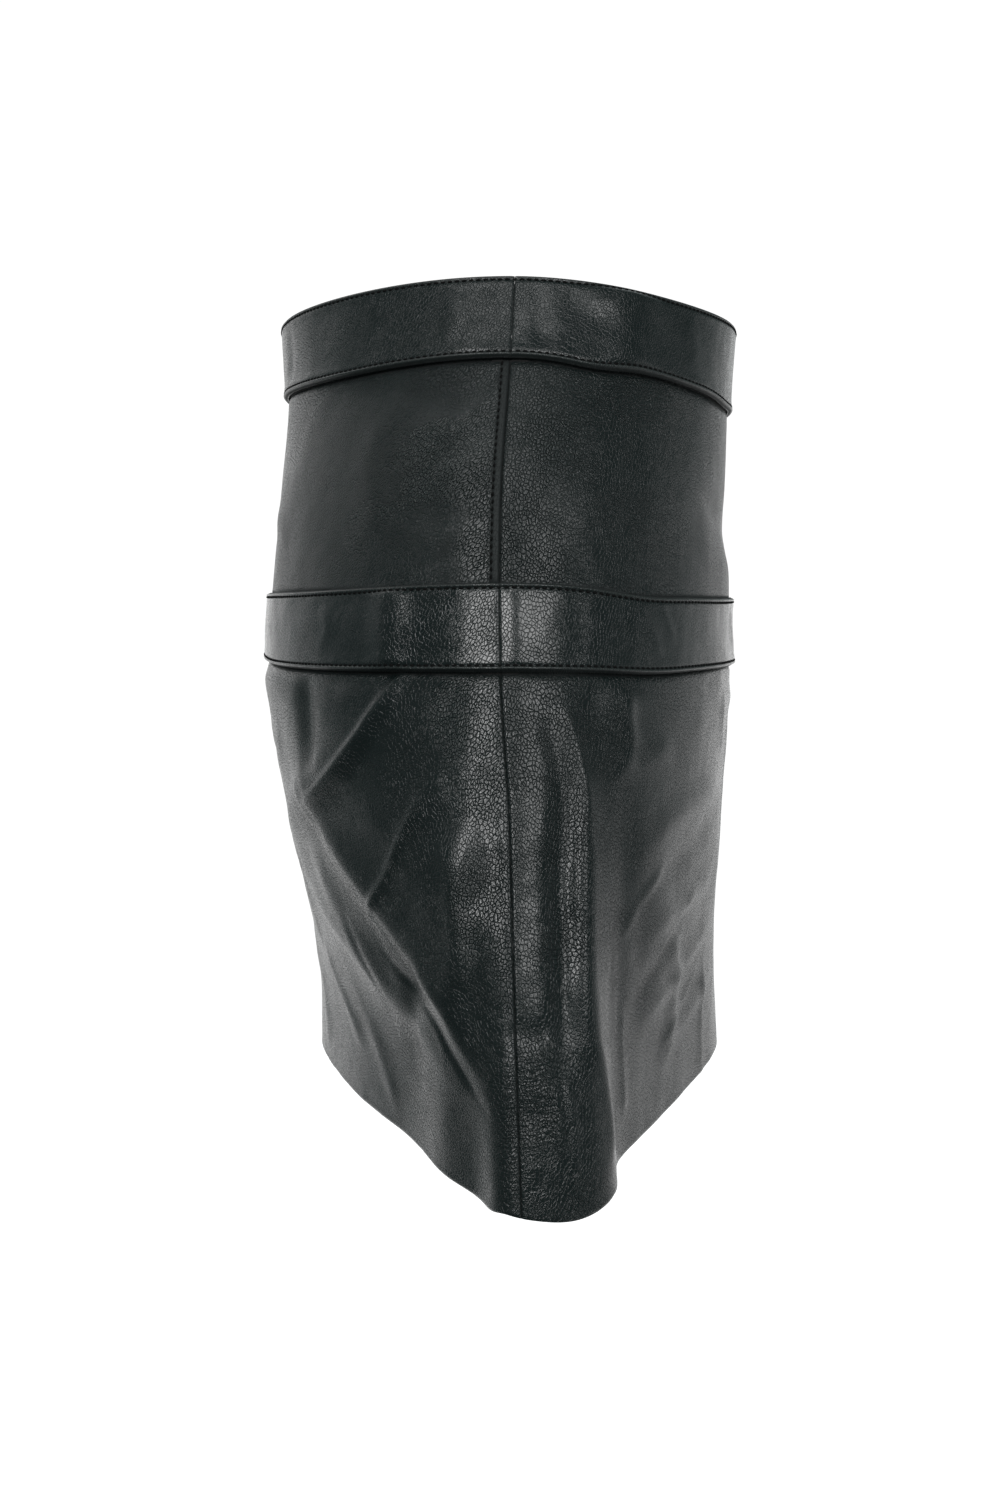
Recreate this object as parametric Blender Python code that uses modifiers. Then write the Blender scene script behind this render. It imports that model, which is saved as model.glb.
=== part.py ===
"""A leather mini skirt, worn open: waistband, yoke, applied hip band and flared skirt.

Each leather piece is a thin wall. Its outer face is a grid laid on one body surface, which is
worked out from a table of level sections and a table of folds, and Solidify gives the thickness
inwards. A band that lies on a panel uses the same surface, moved out.

Angles run round the body: 0 is the centre front (-Y), 90 the wearer's left side (+X), -90 the
wearer's right side and 180 the centre back. Heights are measured from the middle of the
waistband. The tables are in millimetres and degrees, and everything Blender sees is in metres.
"""

import math
from collections import namedtuple

import bmesh
import bpy
from mathutils import Matrix, Vector

MM = 0.001

# Leather and making.
SEAM_GAP = 0.3 * MM
PANEL_THICKNESS = 1.2 * MM
BAND_THICKNESS = 2.0 * MM
BAND_LIFT = SEAM_GAP + BAND_THICKNESS
YOKE_UNDER_WAISTBAND = 10.0 * MM

# Level sections of the leather's outer face. half_width is at the side seams, front and back are
# the depths at the centres, and straight goes from 0, an oval, to 1, flat flanks between the
# centres and the side seams.
Section = namedtuple("Section", "height half_width front back straight")
SECTIONS = (
    Section(-380.0, 236.5, 114.0, 99.5, 1.00),
    Section(-364.5, 233.0, 113.0, 100.5, 1.00),
    Section(-320.0, 222.0, 110.6, 101.0, 0.84),
    Section(-270.0, 209.5, 109.4, 108.3, 0.46),
    Section(-220.0, 197.0, 110.9, 117.9, 0.18),
    Section(-175.0, 185.0, 113.6, 124.9, 0.06),
    Section(-162.0, 181.0, 114.6, 126.9, 0.05),
    Section(-153.5, 178.5, 115.0, 125.0, 0.05),
    Section(-135.0, 174.8, 114.0, 124.3, 0.03),
    Section(-115.0, 170.0, 113.8, 122.5, 0.02),
    Section(-90.0, 163.5, 111.2, 119.8, 0.00),
    Section(-65.0, 155.0, 112.0, 117.0, 0.00),
    Section(-18.5, 135.5, 113.0, 113.5, 0.00),
    Section(18.5, 122.8, 115.2, 115.2, 0.00),
    Section(30.0, 118.8, 115.5, 115.5, 0.00),
)

# How softly a straight flank turns into the side lobe and into the centre.
LOBE_ROUNDING = 0.20
CENTRE_ROUNDING = 0.15

# Sags: where an edge line hangs lower than its smooth course, half its width in degrees and how far.
Sag = namedtuple("Sag", "angle spread drop")
WAISTBAND_LOW_SAGS = (Sag(-71.0, 9.0, 2.2), Sag(-22.0, 9.0, 1.6), Sag(70.0, 10.0, 1.6))
HIP_TOP_SAGS = (Sag(-60.0, 12.0, 1.8), Sag(62.0, 12.0, 1.4))
HIP_LOW_SAGS = (Sag(-58.0, 12.0, 1.0), Sag(-172.0, 12.0, -1.6), Sag(60.0, 12.0, 1.0))
HEM_SAGS = (
    Sag(-79.5, 6.0, 4.8),
    Sag(-92.0, 4.0, -1.5),
    Sag(79.0, 6.5, 4.0),
    Sag(93.0, 4.5, -1.2),
)

# Edge lines: the height at the side seams, how far the line rises at the centres and half way to
# them, and its sags.
Edge = namedtuple("Edge", "side front back front_quarter back_quarter sags")
EDGES = {
    "waistband_top": Edge(18.5, -3.5, -2.5, -3.0, -1.5, ()),
    "waistband_low": Edge(-18.5, -8.0, -1.0, -2.0, -3.0, WAISTBAND_LOW_SAGS),
    "hip_top": Edge(-116.3, -4.0, -2.0, -3.0, -1.5, HIP_TOP_SAGS),
    "hip_low": Edge(-153.0, -1.0, 0.0, -1.0, -1.0, HIP_LOW_SAGS),
    "hem": Edge(-364.5, 6.5, 6.5, 0.0, 0.0, HEM_SAGS),
}

# The right side seam wanders a little on its way down, and the left one mirrors it.
SeamPoint = namedtuple("SeamPoint", "height angle")
SIDE_SEAM = (
    SeamPoint(-364.5, -88.0),
    SeamPoint(-309.0, -89.0),
    SeamPoint(-211.0, -90.5),
    SeamPoint(-153.0, -92.0),
    SeamPoint(-80.0, -92.0),
    SeamPoint(-18.0, -90.0),
    SeamPoint(18.5, -89.0),
)

# Soft folds. Each runs from its top to its low end, its spread is half its width in degrees, and
# rise is positive on a ridge. An open fold grows all the way to its low end, at the hem, and a
# closed one dies out at both ends.
Fold = namedtuple("Fold", "top_height top_angle low_height low_angle spread rise open_end")
FOLDS = (
    # Wearer's right side.
    Fold(-158.0, -112.0, -262.0, -176.0, 9.0, 3.5, False),
    Fold(-236.0, -170.0, -330.0, -104.0, 9.0, 3.0, False),
    Fold(-195.0, -109.0, -345.0, -104.0, 7.0, 2.4, False),
    Fold(-168.0, -77.0, -364.5, -74.0, 8.5, 15.0, True),
    Fold(-180.0, -79.0, -318.0, -79.0, 4.5, -3.6, False),
    Fold(-165.0, -60.0, -358.0, -38.0, 7.0, 1.8, False),
    Fold(-255.0, -126.0, -364.5, -126.0, 17.0, -7.0, True),
    Fold(-270.0, -101.0, -364.5, -103.0, 8.0, -6.5, True),
    # Wearer's left side.
    Fold(-160.0, 116.0, -252.0, 168.0, 10.0, 3.0, False),
    Fold(-240.0, 160.0, -322.0, 108.0, 9.0, 2.8, False),
    Fold(-205.0, 106.0, -350.0, 103.0, 7.0, 2.2, False),
    Fold(-172.0, 78.0, -364.5, 73.0, 9.0, 12.0, True),
    Fold(-190.0, 80.0, -300.0, 80.0, 5.0, -2.2, False),
    Fold(-170.0, 55.0, -350.0, 36.0, 8.0, 1.8, False),
    Fold(-260.0, 124.0, -364.5, 123.0, 17.0, -6.0, True),
    Fold(-280.0, 100.0, -364.5, 102.0, 8.0, -5.0, True),
    # Centre front and centre back.
    Fold(-175.0, -8.0, -340.0, -14.0, 8.0, 1.2, False),
    Fold(-185.0, 14.0, -352.0, 10.0, 7.0, 1.4, False),
    Fold(-40.0, 12.0, -110.0, -20.0, 12.0, -0.8, False),
    Fold(-45.0, -165.0, -108.0, -150.0, 12.0, 0.8, False),
)

# The grid of each panel: columns from side seam to side seam, drawn closer together towards the
# seams, where the skirt turns sharply.
COLUMNS = 40
COLUMN_BUNCHING = 0.80

# The pieces of leather: the edge lines above and below, and how each lies on the body surface.
Piece = namedtuple("Piece", "name top low top_shift low_shift lift thickness rows colour rough")
HIP_BAND_HALF = 0.5 * (EDGES["hip_top"].side - EDGES["hip_low"].side) * MM
PIECES = (
    Piece("waistband", "waistband_top", "waistband_low", 0.0, 0.0,
          BAND_LIFT, BAND_THICKNESS, 3, (0.016, 0.018, 0.018), 0.42),
    Piece("yoke", "waistband_low", "hip_low", YOKE_UNDER_WAISTBAND, HIP_BAND_HALF + SEAM_GAP / 2,
          0.0, PANEL_THICKNESS, 8, (0.013, 0.016, 0.016), 0.48),
    Piece("hip_band", "hip_top", "hip_low", 0.0, 0.0,
          BAND_LIFT, BAND_THICKNESS, 3, (0.016, 0.018, 0.018), 0.42),
    Piece("skirt", "hip_low", "hem", HIP_BAND_HALF - SEAM_GAP / 2, 0.0,
          0.0, PANEL_THICKNESS, 22, (0.014, 0.016, 0.016), 0.45),
)

# The concealed zip in the left side seam.
ZIP_OPENING = 1.6 * MM
TAPE_WIDTH = 24.0 * MM
TAPE_THICKNESS = 1.0 * MM
TAPE_TOP = 3.0 * MM
TAPE_LOW = -160.0 * MM
TAPE_COLUMNS = 6
TAPE_ROWS = 24
SLIDER_HEIGHT = 8.0 * MM
SLIDER_BODY = Vector((3.0, 6.5, 8.5)) * MM
SLIDER_BODY_LIFT = -1.8 * MM
SLIDER_BEVEL = 0.7 * MM
LOOP_THICKNESS = 0.9 * MM
LOOP_RADIUS = 1.7 * MM
LOOP_EYE_RADIUS = 0.9 * MM
PULL_AXIS_LIFT = BAND_LIFT + 1.5 * MM
PULL_LENGTH = 20.0 * MM
PULL_HALF_WIDTH_TOP = 1.9 * MM
PULL_HALF_WIDTH_LOW = 2.8 * MM
PULL_THICKNESS = 0.9 * MM
PULL_BAR = 1.0 * MM
PULL_SLOT_LENGTH = 1.75 * MM
ARC_STEPS = 16

NORMAL_STEP_ANGLE = 0.004
NORMAL_STEP_HEIGHT = 0.4 * MM


def smooth_step(amount):
    amount = min(1.0, max(0.0, amount))
    return amount * amount * (3.0 - 2.0 * amount)


def slope_at(rows, index, column):
    """The slope of a table's column at one of its rows, from the rows on both sides."""
    before = rows[max(0, index - 1)]
    after = rows[min(len(rows) - 1, index + 1)]
    return (after[column] - before[column]) / (after.height - before.height)


def read_table(rows, height_mm, column):
    """A column of a table at any height, on a smooth curve through its rows."""
    height_mm = min(rows[-1].height, max(rows[0].height, height_mm))
    index = max(i for i in range(len(rows) - 1) if rows[i].height <= height_mm)
    low, high = rows[index], rows[index + 1]
    span = high.height - low.height
    t = (height_mm - low.height) / span
    return (
        (2 * t**3 - 3 * t**2 + 1) * low[column]
        + (t**3 - 2 * t**2 + t) * span * slope_at(rows, index, column)
        + (-2 * t**3 + 3 * t**2) * high[column]
        + (t**3 - t**2) * span * slope_at(rows, index + 1, column)
    )


def section_point(angle, height):
    """A point of the body surface without its folds."""
    height_mm = height / MM
    half_width, front, back, straight = (read_table(SECTIONS, height_mm, i) for i in range(1, 5))
    straight = min(1.0, max(0.0, straight))
    sine, cosine = math.sin(angle), math.cos(angle)
    power = 2.0 - straight
    centre_soft = CENTRE_ROUNDING * straight
    lobe_soft = LOBE_ROUNDING * straight

    def outline(along_side, along_centre):
        soft_side = math.hypot(along_side, centre_soft) ** power
        soft_centre = math.hypot(along_centre, lobe_soft) ** power
        return (soft_side + soft_centre) ** (1.0 / power)

    size = outline(sine, cosine)
    depth = front if cosine > 0.0 else back
    x = half_width * sine * outline(1.0, 0.0) / size
    y = -depth * cosine * outline(0.0, 1.0) / size
    return Vector((x * MM, y * MM, height))


def turned_between(angle, centre):
    """The smallest turn from centre to angle, in degrees."""
    return (angle - centre + 180.0) % 360.0 - 180.0


def fold_rise(angle, height):
    """How far the folds lift the surface at a point, in metres."""
    degrees, height_mm = math.degrees(angle), height / MM
    rise = 0.0
    for fold in FOLDS:
        down = (fold.top_height - height_mm) / (fold.top_height - fold.low_height)
        if down <= 0.0 or (down >= 1.0 and not fold.open_end):
            continue
        centre = fold.top_angle + down * (fold.low_angle - fold.top_angle)
        away = turned_between(degrees, centre) / fold.spread
        strength = smooth_step(down) if fold.open_end else math.sin(math.pi * down) ** 2
        rise += fold.rise * strength * math.exp(-away * away)
    return rise * MM


def tangents(point, angle, height):
    """Round and up along a surface at a point, by small steps each way."""
    ahead, behind = point(angle + NORMAL_STEP_ANGLE, height), point(angle - NORMAL_STEP_ANGLE, height)
    above, below = point(angle, height + NORMAL_STEP_HEIGHT), point(angle, height - NORMAL_STEP_HEIGHT)
    return ahead - behind, above - below


def folded_point(angle, height):
    """A point of the body surface with its folds."""
    around, upward = tangents(section_point, angle, height)
    return section_point(angle, height) + around.cross(upward).normalized() * fold_rise(angle, height)


def wall_point(angle, height, lift):
    """A point moved out of the folded surface by lift."""
    if lift == 0.0:
        return folded_point(angle, height)
    around, upward = tangents(folded_point, angle, height)
    return folded_point(angle, height) + around.cross(upward).normalized() * lift


def edge_height(edge, angle):
    """The height of an edge line at an angle."""
    cosine = math.cos(angle)
    centre, quarter = (
        (edge.front, edge.front_quarter) if cosine > 0.0 else (edge.back, edge.back_quarter)
    )
    height = edge.side + centre * cosine**2 + quarter * math.sin(2.0 * angle) ** 2
    for sag in edge.sags:
        away = turned_between(math.degrees(angle), sag.angle) / sag.spread
        height -= sag.drop * math.exp(-away * away)
    return height * MM


def seam_angle(side, height):
    """The angle of a side seam: side is -1 on the wearer's right and 1 on the left."""
    return -side * math.radians(read_table(SIDE_SEAM, height / MM, 1))


def angle_for(distance, angle, height):
    """The turn that moves a point by distance along the surface."""
    around, _ = tangents(section_point, angle, height)
    return distance * 2.0 * NORMAL_STEP_ANGLE / around.length


def panel_point(piece, half, across, upward):
    """A point of a panel's outer face, from across and upward, each 0 to 1."""
    top, low = EDGES[piece.top], EDGES[piece.low]
    side_height = (low.side * MM + piece.low_shift) * (1.0 - upward) + (top.side * MM + piece.top_shift) * upward
    right = seam_angle(-1, side_height)
    left = seam_angle(1, side_height)
    right_gap = angle_for(SEAM_GAP / 2, right, side_height)
    left_width = ZIP_OPENING if piece.name == "waistband" else SEAM_GAP
    left_gap = angle_for(left_width / 2, left, side_height)
    if half == "front":
        start, end = right + right_gap, left - left_gap
    else:
        start, end = left + left_gap, right - right_gap + 2.0 * math.pi
    eased = across - COLUMN_BUNCHING * math.sin(2.0 * math.pi * across) / (2.0 * math.pi)
    angle = start + (end - start) * eased
    low_height = edge_height(low, angle) + piece.low_shift
    top_height = edge_height(top, angle) + piece.top_shift
    return wall_point(angle, low_height + (top_height - low_height) * upward, piece.lift)


def tape_point(across, upward):
    """A point of the zip tape's outer face, which lies inside the left side seam."""
    height = TAPE_LOW + (TAPE_TOP - TAPE_LOW) * upward
    seam = seam_angle(1, height)
    angle = seam + angle_for((across - 0.5) * TAPE_WIDTH, seam, height)
    return wall_point(angle, height, -PANEL_THICKNESS - SEAM_GAP)


def principled(name, colour, roughness, metallic=0.0):
    material = bpy.data.materials.new(name)
    material.use_nodes = True
    shader = material.node_tree.nodes["Principled BSDF"]
    shader.inputs["Base Color"].default_value = (*colour, 1.0)
    shader.inputs["Roughness"].default_value = roughness
    shader.inputs["Metallic"].default_value = metallic
    return material


def finish_object(name, mesh, collection, material):
    body = bpy.data.objects.new(name, mesh)
    collection.objects.link(body)
    mesh.materials.append(material)
    return body


def sheet_object(name, columns, rows, place, thickness, collection, material):
    """A wall: a grid whose points are placed by a function, thickened inwards."""
    grid = bmesh.new()
    bmesh.ops.create_grid(grid, x_segments=columns, y_segments=rows, size=0.5)
    for vertex in grid.verts:
        vertex.co = place(vertex.co.x + 0.5, vertex.co.y + 0.5)
    mesh = bpy.data.meshes.new(name)
    grid.to_mesh(mesh)
    grid.free()
    mesh.shade_smooth()
    body = finish_object(name, mesh, collection, material)
    wall = body.modifiers.new("wall", "SOLIDIFY")
    wall.thickness = thickness
    wall.offset = -1.0
    wall.use_even_offset = True
    return body


def make_leather(collection):
    for piece in PIECES:
        for half in ("front", "back"):
            sheet_object(
                f"{piece.name}_{half}",
                COLUMNS,
                piece.rows,
                lambda across, upward: panel_point(piece, half, across, upward),
                piece.thickness,
                collection,
                principled(f"{piece.name}_{half}_leather", piece.colour, piece.rough),
            )


def zip_frame():
    """The slider's own axes at the hinge of its pull: X out of the leather, Y round the body and
    Z up along the leather."""
    seam = seam_angle(1, SLIDER_HEIGHT)
    around, upward = tangents(section_point, seam, SLIDER_HEIGHT)
    outward = around.cross(upward).normalized()
    along = around.normalized()
    origin = wall_point(seam, SLIDER_HEIGHT, 0.0)
    turned = Matrix((outward, along, outward.cross(along))).transposed().to_4x4()
    return Matrix.Translation(origin) @ turned


def flat_outline(name, loops, thickness, collection):
    """An outline with holes, drawn in its own XY plane and extruded both ways to a thickness."""
    curve = bpy.data.curves.new(name, "CURVE")
    curve.dimensions = "2D"
    curve.fill_mode = "BOTH"
    curve.extrude = thickness / 2
    for loop in loops:
        spline = curve.splines.new("POLY")
        spline.points.add(len(loop) - 1)
        for point, (x, y) in zip(spline.points, loop):
            point.co = (x, y, 0.0, 1.0)
        spline.use_cyclic_u = True
    body = bpy.data.objects.new(name, curve)
    collection.objects.link(body)
    return body


def arc(radius, start, end, centre=(0.0, 0.0), steps=ARC_STEPS):
    return [
        (
            centre[0] + radius * math.cos(math.radians(start + (end - start) * i / steps)),
            centre[1] + radius * math.sin(math.radians(start + (end - start) * i / steps)),
        )
        for i in range(steps + 1)
    ]


def as_mesh_object(source, place, name, collection):
    """A curve's evaluated shape as a welded mesh object, placed by a matrix."""
    bpy.context.view_layer.update()
    evaluated = source.evaluated_get(bpy.context.evaluated_depsgraph_get())
    mesh = bpy.data.meshes.new_from_object(evaluated)
    bpy.data.objects.remove(source)
    welded = bmesh.new()
    welded.from_mesh(mesh)
    bmesh.ops.remove_doubles(welded, verts=welded.verts, dist=1e-6)
    welded.transform(place)
    bmesh.ops.recalc_face_normals(welded, faces=welded.faces)
    if welded.calc_volume(signed=True) < 0.0:
        bmesh.ops.reverse_faces(welded, faces=welded.faces)
    welded.to_mesh(mesh)
    welded.free()
    mesh.name = name
    body = bpy.data.objects.new(name, mesh)
    collection.objects.link(body)
    return body


def make_tape(collection):
    sheet_object(
        "zip_tape",
        TAPE_COLUMNS,
        TAPE_ROWS,
        tape_point,
        TAPE_THICKNESS,
        collection,
        principled("zip_tape_cloth", (0.010, 0.010, 0.011), 0.8),
    )


def make_slider(collection, helpers, metal):
    """A slider behind the seam, with a flat loop that comes out between the waistband's ends."""
    frame = zip_frame()
    block = bmesh.new()
    bmesh.ops.create_cube(block, size=1.0)
    bmesh.ops.scale(block, vec=SLIDER_BODY, verts=block.verts)
    bmesh.ops.bevel(
        block, geom=block.edges[:], offset=SLIDER_BEVEL, segments=2, profile=0.5, affect="EDGES"
    )
    bmesh.ops.translate(block, vec=(SLIDER_BODY_LIFT, 0.0, 0.0), verts=block.verts)
    bmesh.ops.transform(block, matrix=frame, verts=block.verts)
    mesh = bpy.data.meshes.new("zip_slider")
    block.to_mesh(mesh)
    block.free()
    slider = finish_object("zip_slider", mesh, collection, metal)

    neck_end = SLIDER_BODY_LIFT - PULL_AXIS_LIFT
    outer = arc(LOOP_RADIUS, -90.0, 90.0) + [(neck_end, LOOP_RADIUS), (neck_end, -LOOP_RADIUS)]
    eye = arc(LOOP_EYE_RADIUS, 360.0, 360.0 / ARC_STEPS, steps=ARC_STEPS - 1)
    drawn = flat_outline("loop_outline", (outer, eye), LOOP_THICKNESS, helpers)
    # The outline's own X goes out of the leather and its Y up, so its thickness lies round the body.
    upright = Matrix.Translation((PULL_AXIS_LIFT, 0.0, 0.0)) @ Matrix.Rotation(math.pi / 2, 4, "X")
    loop = as_mesh_object(drawn, frame @ upright, "zip_slider_loop", helpers)
    loop.hide_render = True
    loop.display_type = "WIRE"
    joined = slider.modifiers.new("loop", "BOOLEAN")
    joined.operation = "UNION"
    joined.object = loop


def make_pull(collection, helpers, metal):
    """A plain metal tab whose top bar passes through the slider's loop and turns there."""
    low_centre = (0.0, -PULL_LENGTH + PULL_HALF_WIDTH_LOW)
    top_corner = PULL_BAR / 2
    outline = arc(PULL_HALF_WIDTH_LOW, 180.0, 360.0, low_centre)
    outline += [(PULL_HALF_WIDTH_TOP, top_corner), (-PULL_HALF_WIDTH_TOP, top_corner)]
    slot_half = LOOP_THICKNESS / 2 + SEAM_GAP
    slot_top = -PULL_BAR / 2
    slot_low = slot_top - PULL_SLOT_LENGTH
    slot = [
        (slot_half, slot_low),
        (-slot_half, slot_low),
        (-slot_half, slot_top),
        (slot_half, slot_top),
    ]
    drawn = flat_outline("pull_outline", (outline, slot), PULL_THICKNESS, helpers)
    # The outline's own X goes round the body and its Y up, so its thickness lies out of the leather.
    facing = Matrix.Translation((PULL_AXIS_LIFT, 0.0, 0.0)) @ Matrix(
        ((0.0, 0.0, 1.0, 0.0), (1.0, 0.0, 0.0, 0.0), (0.0, 1.0, 0.0, 0.0), (0.0, 0.0, 0.0, 1.0))
    )
    # The tab's own origin is put on its hinge, and its points are given from there.
    hinge = zip_frame() @ Matrix.Translation((PULL_AXIS_LIFT, 0.0, 0.0))
    pull = as_mesh_object(drawn, hinge.inverted() @ zip_frame() @ facing, "zip_pull", collection)
    pull.matrix_world = hinge
    pull.data.materials.append(metal)


def new_collection(name):
    collection = bpy.data.collections.new(name)
    bpy.context.scene.collection.children.link(collection)
    return collection


def clear_scene():
    for leftover in list(bpy.data.objects):
        bpy.data.objects.remove(leftover)


def main():
    clear_scene()
    collection = new_collection("leather_mini_skirt")
    helpers = new_collection("leather_mini_skirt_helpers")
    make_leather(collection)
    make_tape(collection)
    metal = principled("zip_metal", (0.25, 0.25, 0.26), 0.35, 1.0)
    make_slider(collection, helpers, metal)
    make_pull(collection, helpers, metal)


main()
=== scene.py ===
# %% [markdown]
# # A leather mini skirt, piece by piece
# The real skirt is eight cut pieces of thin black leather: a waistband, a yoke, an applied hip
# band and a flared skirt, each with a front and a back half. A plain concealed zip closes the
# wearer's left side seam. Each lesson cell says what a piece is on the real garment and why it
# is made the way it is here.
#
# The imported frame is loaded first. It brings the plain solids and the bodies that move.

# %% Load the frame
import math
from collections import namedtuple

import bpy
import numpy as np
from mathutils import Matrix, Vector


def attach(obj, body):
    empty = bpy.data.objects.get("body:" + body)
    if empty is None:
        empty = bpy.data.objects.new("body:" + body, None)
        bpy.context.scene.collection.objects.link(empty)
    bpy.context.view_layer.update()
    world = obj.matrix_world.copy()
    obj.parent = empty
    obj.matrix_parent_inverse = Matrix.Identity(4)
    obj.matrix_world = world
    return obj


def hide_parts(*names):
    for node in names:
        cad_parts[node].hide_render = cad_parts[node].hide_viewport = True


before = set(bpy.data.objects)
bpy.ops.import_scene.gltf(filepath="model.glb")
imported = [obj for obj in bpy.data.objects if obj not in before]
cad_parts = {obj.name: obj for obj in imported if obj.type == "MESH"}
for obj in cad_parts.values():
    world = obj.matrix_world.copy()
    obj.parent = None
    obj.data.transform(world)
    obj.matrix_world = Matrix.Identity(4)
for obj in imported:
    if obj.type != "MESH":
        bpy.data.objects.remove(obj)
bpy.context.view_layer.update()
MM = 0.001

# %% [markdown]
# ## The shape of the body
# A skirt's cloth has no shape of its own: it takes the wearer's at the hips and swings free
# below. Level sections describe that well, the way a dressmaker's form is graded. Each row gives
# a height, half the width at the side seams, the depth at the centre front and back, and how
# straight the flanks are. A smooth curve through the rows gives every height in between. The
# arrays hold millimetres and degrees, and become metres only when a mesh is made.

# %% Level sections
# Height, half width, depth in front, depth behind, straightness of the flanks.
SECTIONS = (
    (-380, 236.5, 114, 99.5, 1),
    (-364.5, 233, 113, 100.5, 1),
    (-320, 222, 110.6, 101, 0.84),
    (-270, 209.5, 109.4, 108.3, 0.46),
    (-220, 197, 110.9, 117.9, 0.18),
    (-175, 185, 113.6, 124.9, 0.06),
    (-162, 181, 114.6, 126.9, 0.05),
    (-153.5, 178.5, 115, 125, 0.05),
    (-135, 174.8, 114, 124.3, 0.03),
    (-115, 170, 113.8, 122.5, 0.02),
    (-90, 163.5, 111.2, 119.8, 0),
    (-65, 155, 112, 117, 0),
    (-18.5, 135.5, 113, 113.5, 0),
    (18.5, 122.8, 115.2, 115.2, 0),
    (30, 118.8, 115.5, 115.5, 0),
)
LOBE_ROUNDING = 0.20
CENTRE_ROUNDING = 0.15


def read_table(rows, heights, column):
    """A column of a table at any heights, on a smooth curve through its rows."""
    known, values = (np.array([row[i] for row in rows], float) for i in (0, column))
    steps = np.diff(values) / np.diff(known)
    inner = (values[2:] - values[:-2]) / (known[2:] - known[:-2])
    slopes = np.concatenate([steps[:1], inner, steps[-1:]])
    heights = np.clip(heights, known[0], known[-1])
    i = np.clip(np.searchsorted(known, heights, side="right") - 1, 0, len(known) - 2)
    span = known[i + 1] - known[i]
    t = (heights - known[i]) / span
    return (
        (2 * t**3 - 3 * t**2 + 1) * values[i]
        + (t**3 - 2 * t**2 + t) * span * slopes[i]
        + (-2 * t**3 + 3 * t**2) * values[i + 1]
        + (t**3 - t**2) * span * slopes[i + 1]
    )


def section_points(angles, heights):
    """Points of the body surface, in millimetres. Angle 0 is the centre front, 90 the left side."""
    half_width, front, back, straight = (read_table(SECTIONS, heights, i) for i in range(1, 5))
    straight = np.clip(straight, 0.0, 1.0)
    sine, cosine = np.sin(np.radians(angles)), np.cos(np.radians(angles))
    power = 2.0 - straight
    centre_soft, lobe_soft = CENTRE_ROUNDING * straight, LOBE_ROUNDING * straight

    def outline(along_side, along_centre):
        soft_side = np.hypot(along_side, centre_soft) ** power
        soft_centre = np.hypot(along_centre, lobe_soft) ** power
        return (soft_side + soft_centre) ** (1.0 / power)

    size = outline(sine, cosine)
    depth = np.where(cosine > 0.0, front, back)
    x = half_width * sine * outline(1.0, 0.0) / size
    y = -depth * cosine * outline(0.0, 1.0) / size
    return np.stack([x, y, heights + 0.0 * x], axis=-1)


waist = read_table(SECTIONS, np.array([18.5]), 1)
print("waist half width:", round(float(waist[0]), 1), "mm")

# %% [markdown]
# ## Edge lines and the side seam
# Each cut piece ends on a line that runs round the body: the waistband's two edges, the hip
# band's two edges and the hem. A line is a height at the side seams and how far it rises or
# falls towards the centres. The side seam wanders a few degrees on its way down, as a sewn seam
# in soft leather does.

# %% Edge lines and seams
Sag = namedtuple("Sag", "angle spread drop")
WAISTBAND_LOW_SAGS = (Sag(-71.0, 9.0, 2.2), Sag(-22.0, 9.0, 1.6), Sag(70.0, 10.0, 1.6))
HIP_TOP_SAGS = (Sag(-60.0, 12.0, 1.8), Sag(62.0, 12.0, 1.4))
HIP_LOW_SAGS = (Sag(-58.0, 12.0, 1.0), Sag(-172.0, 12.0, -1.6), Sag(60.0, 12.0, 1.0))
HEM_SAGS = (Sag(-79.5, 6.0, 4.8), Sag(-92.0, 4.0, -1.5), Sag(79.0, 6.5, 4.0), Sag(93.0, 4.5, -1.2))

Edge = namedtuple("Edge", "side front back front_quarter back_quarter sags")
EDGES = {
    "waistband_top": Edge(18.5, -3.5, -2.5, -3.0, -1.5, ()),
    "waistband_low": Edge(-18.5, -8.0, -1.0, -2.0, -3.0, WAISTBAND_LOW_SAGS),
    "hip_top": Edge(-116.3, -4.0, -2.0, -3.0, -1.5, HIP_TOP_SAGS),
    "hip_low": Edge(-153.0, -1.0, 0.0, -1.0, -1.0, HIP_LOW_SAGS),
    "hem": Edge(-364.5, 6.5, 6.5, 0.0, 0.0, HEM_SAGS),
}
# The right side seam: a height, and the angle that it has there.
SIDE_SEAM = (
    (-364.5, -88.0), (-309.0, -89.0), (-211.0, -90.5), (-153.0, -92.0),
    (-80.0, -92.0), (-18.0, -90.0), (18.5, -89.0),
)


def turn_from(angles, centre):
    """The turn from one angle to others, the short way round."""
    return (angles - centre + 180.0) % 360.0 - 180.0


def bump(distance, width):
    return np.exp(-((distance / width) ** 2))


def edge_heights(edge, angles):
    cosine = np.cos(np.radians(angles))
    centre = np.where(cosine > 0.0, edge.front, edge.back)
    quarter = np.where(cosine > 0.0, edge.front_quarter, edge.back_quarter)
    heights = edge.side + centre * cosine**2 + quarter * np.sin(np.radians(2.0 * angles)) ** 2
    for sag in edge.sags:
        heights = heights - sag.drop * bump(turn_from(angles, sag.angle), sag.spread)
    return heights


def seam_angles(side, heights):
    return -side * read_table(SIDE_SEAM, heights, 1)


print("side length:", EDGES["waistband_top"].side - EDGES["hem"].side, "mm")

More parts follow.
